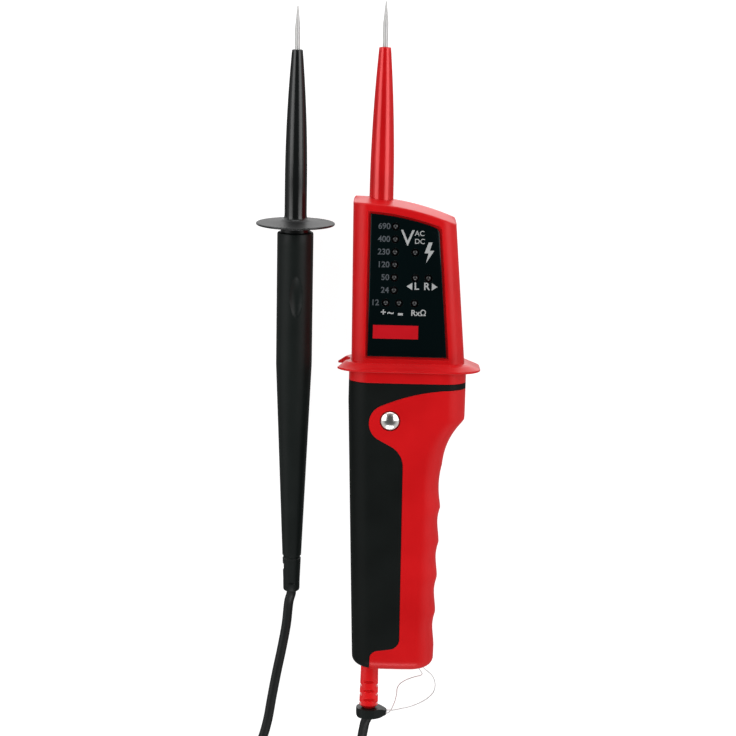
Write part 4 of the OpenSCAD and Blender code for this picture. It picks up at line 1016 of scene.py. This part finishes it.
def text_mesh(name, body, size, x, y, align="LEFT", weight=PRINT_WEIGHT):
    """A text as a flat mesh on the window, made bolder by its weight."""
    font = bpy.data.curves.new(name, "FONT")
    font.body = body
    font.size = size
    font.align_x = align
    font.align_y = "CENTER"
    font.offset = weight * size
    font.resolution_u = 4
    text = add_object(name, font)
    text.location = (x, y, WINDOW_FACE + PRINT_LIFT)
    bpy.context.view_layer.update()
    mesh = bpy.data.meshes.new_from_object(text.evaluated_get(bpy.context.evaluated_depsgraph_get()))
    mesh.transform(text.matrix_world)
    bpy.data.objects.remove(text)
    return add_object(name, mesh)


def flat_mesh(name, outline):
    """A thin printed shape on the window."""
    verts = [(x, y, WINDOW_FACE + PRINT_LIFT) for x, y in outline]
    return mesh_object(name, verts, [tuple(range(len(outline)))])


def joined(name, parts):
    """One piece made of all the parts, which are used up."""
    bm = bmesh.new()
    for part in parts:
        bm.from_mesh(part.data)
        bpy.data.objects.remove(part)
    mesh = bpy.data.meshes.new(name)
    bm.to_mesh(mesh)
    bm.free()
    return add_object(name, mesh)


def make_numbers(grey):
    small = [text_mesh(n, n, NUMBER_SIZE, NUMBER_EDGE, LED_TOP - i * LED_PITCH, "RIGHT")
        for i, n in enumerate(NUMBERS)]
    small.append(text_mesh("12", "12", NUMBER_SIZE, LAST_NUMBER_EDGE, LED_LAST, "RIGHT"))
    settle(joined("voltage-numbers", small), MAIN, grey)


def make_signs(white):
    """Letters and signs, the two arrows and the lightning sign."""
    large = [text_mesh(name, body, size * MM, x * MM, LED_TOP + y * MM, weight=weight)
        for name, body, size, x, y, weight in UPPER_SIGNS]
    large += [text_mesh(name, body, size * MM, x * MM, LED_LAST + y * MM)
        for name, body, size, x, y in LOWER_SIGNS]
    row, half = LED_LAST + ARROW_ROW * MM, ARROW_HALF * MM
    for tip, back in ARROWS:
        corners = [(tip * MM, row), (back * MM, row + half), (back * MM, row - half)]
        large.append(flat_mesh("arrow", corners))
    x, y = BOLT_AT[0] * MM, LED_TOP + BOLT_AT[1] * MM
    large.append(flat_mesh("bolt", [(x + px * MM, y + py * MM) for px, py in BOLT]))
    settle(joined("signs", large), MAIN, white)


def make_bar(red):
    left, low = head_left(ROOT_Y) + WINDOW_LEFT + BAR_INSET, ROOT_Y + BAR_LOW
    right, high = left + BAR_LEN, low + BAR_H
    bar = flat_mesh("red-bar", [(left, low), (right, low), (right, high), (left, high)])
    settle(bar, MAIN, red)


# Materials


def node_tree(name):
    material = bpy.data.materials.new(name)
    material.use_nodes = True
    tree = material.node_tree
    return material, tree, tree.nodes["Principled BSDF"]


def fill(node, values):
    for key, value in values.items():
        node.inputs[key].default_value = value


def noise(tree, scale, rough=0.5):
    """Noise in the piece's own frame."""
    place = tree.nodes.new("ShaderNodeTexCoord")
    texture = tree.nodes.new("ShaderNodeTexNoise")
    fill(texture, {"Scale": scale, "Detail": 2, "Roughness": rough})
    tree.links.new(place.outputs["Object"], texture.inputs["Vector"])
    return texture.outputs["Fac"]


def tint(tree, source, dark, light):
    """Goes from one colour to another with a source from 0 to 1."""
    mix = tree.nodes.new("ShaderNodeMix")
    mix.data_type = "RGBA"
    mix.inputs[6].default_value = (*dark, 1)
    mix.inputs[7].default_value = (*light, 1)
    tree.links.new(source, mix.inputs[0])
    return mix.outputs[2]


def slide(tree, source, start, end, first, last, kind="SMOOTHSTEP"):
    """Goes from first to last while the source goes from start to end."""
    ramp = tree.nodes.new("ShaderNodeMapRange")
    ramp.interpolation_type = kind
    fill(ramp, {"From Min": start, "From Max": end, "To Min": first, "To Max": last})
    tree.links.new(source, ramp.inputs["Value"])
    return ramp.outputs["Result"]


def spread(tree, source, low, high):
    """Maps a noise to a range."""
    return slide(tree, source, *NOISE_RANGE, low, high, "LINEAR")


def maths(tree, operation, *sources):
    node = tree.nodes.new("ShaderNodeMath")
    node.operation = operation
    for i, source in enumerate(sources):
        tree.links.new(source, node.inputs[i])
    return node.outputs["Value"]


def duller_across(tree, gloss, across):
    """Adds roughness to the faces that lie across the needle's line."""
    facing = tree.nodes.new("ShaderNodeSeparateXYZ")
    tree.links.new(tree.nodes.new("ShaderNodeNewGeometry").outputs["Normal"], facing.inputs["Vector"])
    share = maths(tree, "ABSOLUTE", facing.outputs["Y"])
    return maths(tree, "ADD", gloss, slide(tree, share, *ACROSS, 0, across))


def plastic(name, colour, rough, grain=2600, depth=0.25, edge=0.25, metallic=0.0, change=0.06, shine=0.5,
        across=0.0, tinge=1.0, bend=1.5):
    """Moulded surface with uneven colour and gloss, fine grain and eased edges. Faces across the needle's
    line are duller by across, and a tinge below 1 makes highlights redder."""
    material, tree, shader = node_tree(name)
    broad = noise(tree, BROAD_NOISE)
    fine = noise(tree, grain, rough=0.6)
    dark = [c * (1 - change) for c in colour]
    light = [min(1, c * (1 + change)) for c in colour]
    tree.links.new(tint(tree, spread(tree, broad, 0, 1), dark, light), shader.inputs["Base Color"])
    gloss = spread(tree, broad, rough * (1 - GLOSS_CHANGE), rough * (1 + GLOSS_CHANGE))
    if across > 0:
        gloss = duller_across(tree, gloss, across)
    tree.links.new(gloss, shader.inputs["Roughness"])
    bump = tree.nodes.new("ShaderNodeBump")
    fill(bump, {"Strength": depth, "Distance": GRAIN_H})
    tree.links.new(fine, bump.inputs["Height"])
    if edge > 0:
        ease = tree.nodes.new("ShaderNodeBevel")
        ease.samples = 4
        ease.inputs["Radius"].default_value = edge * MM
        tree.links.new(ease.outputs["Normal"], bump.inputs["Normal"])
    tree.links.new(bump.outputs["Normal"], shader.inputs["Normal"])
    fill(shader, {"Metallic": metallic, "Specular IOR Level": shine,
        "Specular Tint": (1, tinge, tinge, 1), "IOR": bend})
    return material


def dress(names, material):
    """Gives CAD nodes that stay shown a procedural finish."""
    for name in names:
        obj = bpy.data.objects[name]
        obj.data.materials.clear()
        obj.data.materials.append(material)


# Floor and light


def make_light(name, size, at, target, power):
    data = bpy.data.lights.new(name, "AREA")
    data.shape = "RECTANGLE"
    data.size, data.size_y = size
    data.energy = power
    lamp = add_object(name, data)
    lamp.location = at
    lamp.rotation_euler = (Vector(target) - Vector(at)).to_track_quat("-Z", "Y").to_euler()
    return lamp


def light_room(tree):
    """White walls round the stage, a darker ceiling, and below it dark sides and a bright far end."""
    place = tree.nodes.new("ShaderNodeTexCoord")
    split = tree.nodes.new("ShaderNodeSeparateXYZ")
    tree.links.new(place.outputs["Generated"], split.inputs["Vector"])
    x, y, z = (split.outputs[k] for k in "XYZ")
    above = slide(tree, z, *CEILING_START, WALL_LIGHT, CEILING_LIGHT)
    sides = slide(tree, maths(tree, "ABSOLUTE", x), *SIDE_START, 1, SIDE_SHARE)
    below = maths(tree, "MULTIPLY", sides, slide(tree, y, *NORTH_START, BELOW_LIGHT, NORTH_LIGHT))
    room = tree.nodes.new("ShaderNodeMix")
    tree.links.new(slide(tree, z, *HORIZON, 0, 1), room.inputs["Factor"])
    tree.links.new(below, room.inputs["A"])
    tree.links.new(above, room.inputs["B"])
    tree.links.new(room.outputs["Result"], tree.nodes["Background"].inputs["Strength"])
    tree.nodes["Background"].inputs["Color"].default_value = (1, 1, 1, 1)


def make_floor():
    """Pale floor that gives some light of its own and isn't seen in reflections."""
    floor = block("floor", -FLOOR_HALF, FLOOR_HALF, -FLOOR_HALF, FLOOR_HALF, -FLOOR_T, 0)
    material, tree, shader = node_tree("floor")
    uneven = spread(tree, noise(tree, 4), 0, 1)
    tree.links.new(tint(tree, uneven, FLOOR_DARK, FLOOR_PALE), shader.inputs["Base Color"])
    fill(shader, {"Roughness": 0.9, "Specular IOR Level": 0.1, "Emission Color": (1, 1, 1, 1),
        "Emission Strength": FLOOR_LIGHT})
    floor.data.materials.append(material)
    floor.visible_glossy = False
    return floor


def make_stage():
    floor = make_floor()
    lamps = [make_light(*values) for values in LIGHT_BOXES]
    world = bpy.data.worlds.new("world")
    bpy.context.scene.world = world
    world.use_nodes = True
    light_room(world.node_tree)
    bpy.context.scene.view_settings.view_transform = "Standard"


# The tester, its materials and its stage

make_camera()

red = plastic("red plastic", (0.575, 0.004, 0.006), 0.36, grain=1800, depth=0.18, shine=0.5, tinge=0.42)
# Painted light: the strain relief's red is lighter than the housing's red, to make up for the shade it
# lies in below the grip's end
shade_lifted_relief_red = plastic("shade-lifted relief red", (0.74, 0.006, 0.008), 0.3, grain=1800, depth=0.1, shine=0.4)
gloss_red = plastic("gloss red", (0.56, 0.004, 0.006), 0.2, grain=1200, depth=0.06, shine=1.0, tinge=0.26,
    bend=1.7)
soft_black = plastic("soft black", (0.0035, 0.005, 0.0045), 0.5, grain=3200, depth=0.35, edge=0.3,
    change=0.12, shine=0.12)
hard_black = plastic("hard black", (0.005, 0.0075, 0.0068), 0.42, grain=2400, depth=0.3, change=0.1,
    shine=0.2)
gloss_black = plastic("gloss black", (0.004, 0.005, 0.005), 0.2, grain=1200, depth=0.05, change=0.1,
    across=0.35)
cord_black = plastic("cord black", (0.007, 0.008, 0.008), 0.4, grain=1500, depth=0.2, edge=0, change=0.15,
    shine=0.35)
glass_black = plastic("window black", (0.0003, 0.003, 0.0035), 0.12, grain=400, depth=0.02, edge=0.2,
    shine=0.2)
lens = plastic("dark lens", (0.010, 0.011, 0.012), 0.3, grain=400, depth=0.05, edge=0, shine=0.6)
steel = plastic("nickel steel", (0.60, 0.595, 0.59), 0.6, grain=900, depth=0.1, edge=0.1, metallic=1)
bright = plastic("bright nickel", (0.86, 0.85, 0.82), 0.2, grain=600, depth=0.02, edge=0, metallic=1,
    change=0.02)
board = plastic("board green", (0.02, 0.09, 0.04), 0.4)
jacket = plastic("cell jacket", (0.30, 0.20, 0.04), 0.3, metallic=0.6)
blue = plastic("resistor blue", (0.04, 0.15, 0.30), 0.4)
thread_grey = plastic("thread grey", (0.55, 0.55, 0.55), 0.6, grain=5000, depth=0.5, edge=0)
print_grey = plastic("print grey", (0.07, 0.08, 0.09), 0.5, edge=0, shine=0.2)
print_white = plastic("print white", (0.38, 0.39, 0.39), 0.5, edge=0, shine=0.2)
print_red = plastic("print red", (0.50, 0.004, 0.010), 0.4, edge=0, shine=0.2)

make_lead(cord_black)
make_thread(thread_grey)
make_front_shell(red)
make_rear_shell(red)
make_pads(soft_black)
make_battery_door(hard_black)
make_window(glass_black)
make_electrode(bright)
make_main_probe(gloss_red, steel)
make_second_probe(gloss_black, steel)
make_second_handle(hard_black)
make_numbers(print_grey)
make_signs(print_white)
make_bar(print_red)

dress(["voltage_lights", "polarity_lights", "phase_light", "rotation_lights", "continuity_light"], lens)
dress(["case_screws", "door_screw", "electrode_spring", "needle_contact", "battery_contacts",
    "battery_springs"], steel)
# The strain relief gets the lightened red, which is painted light against its shade
dress(["strain_relief"], shade_lifted_relief_red)
dress(["tether_collar", "buzzer"], hard_black)
dress(["inner_lead", "second_inner_wire"], cord_black)
dress(["circuit_board"], board)
dress(["cells"], jacket)
dress(["second_resistor"], blue)

make_stage()
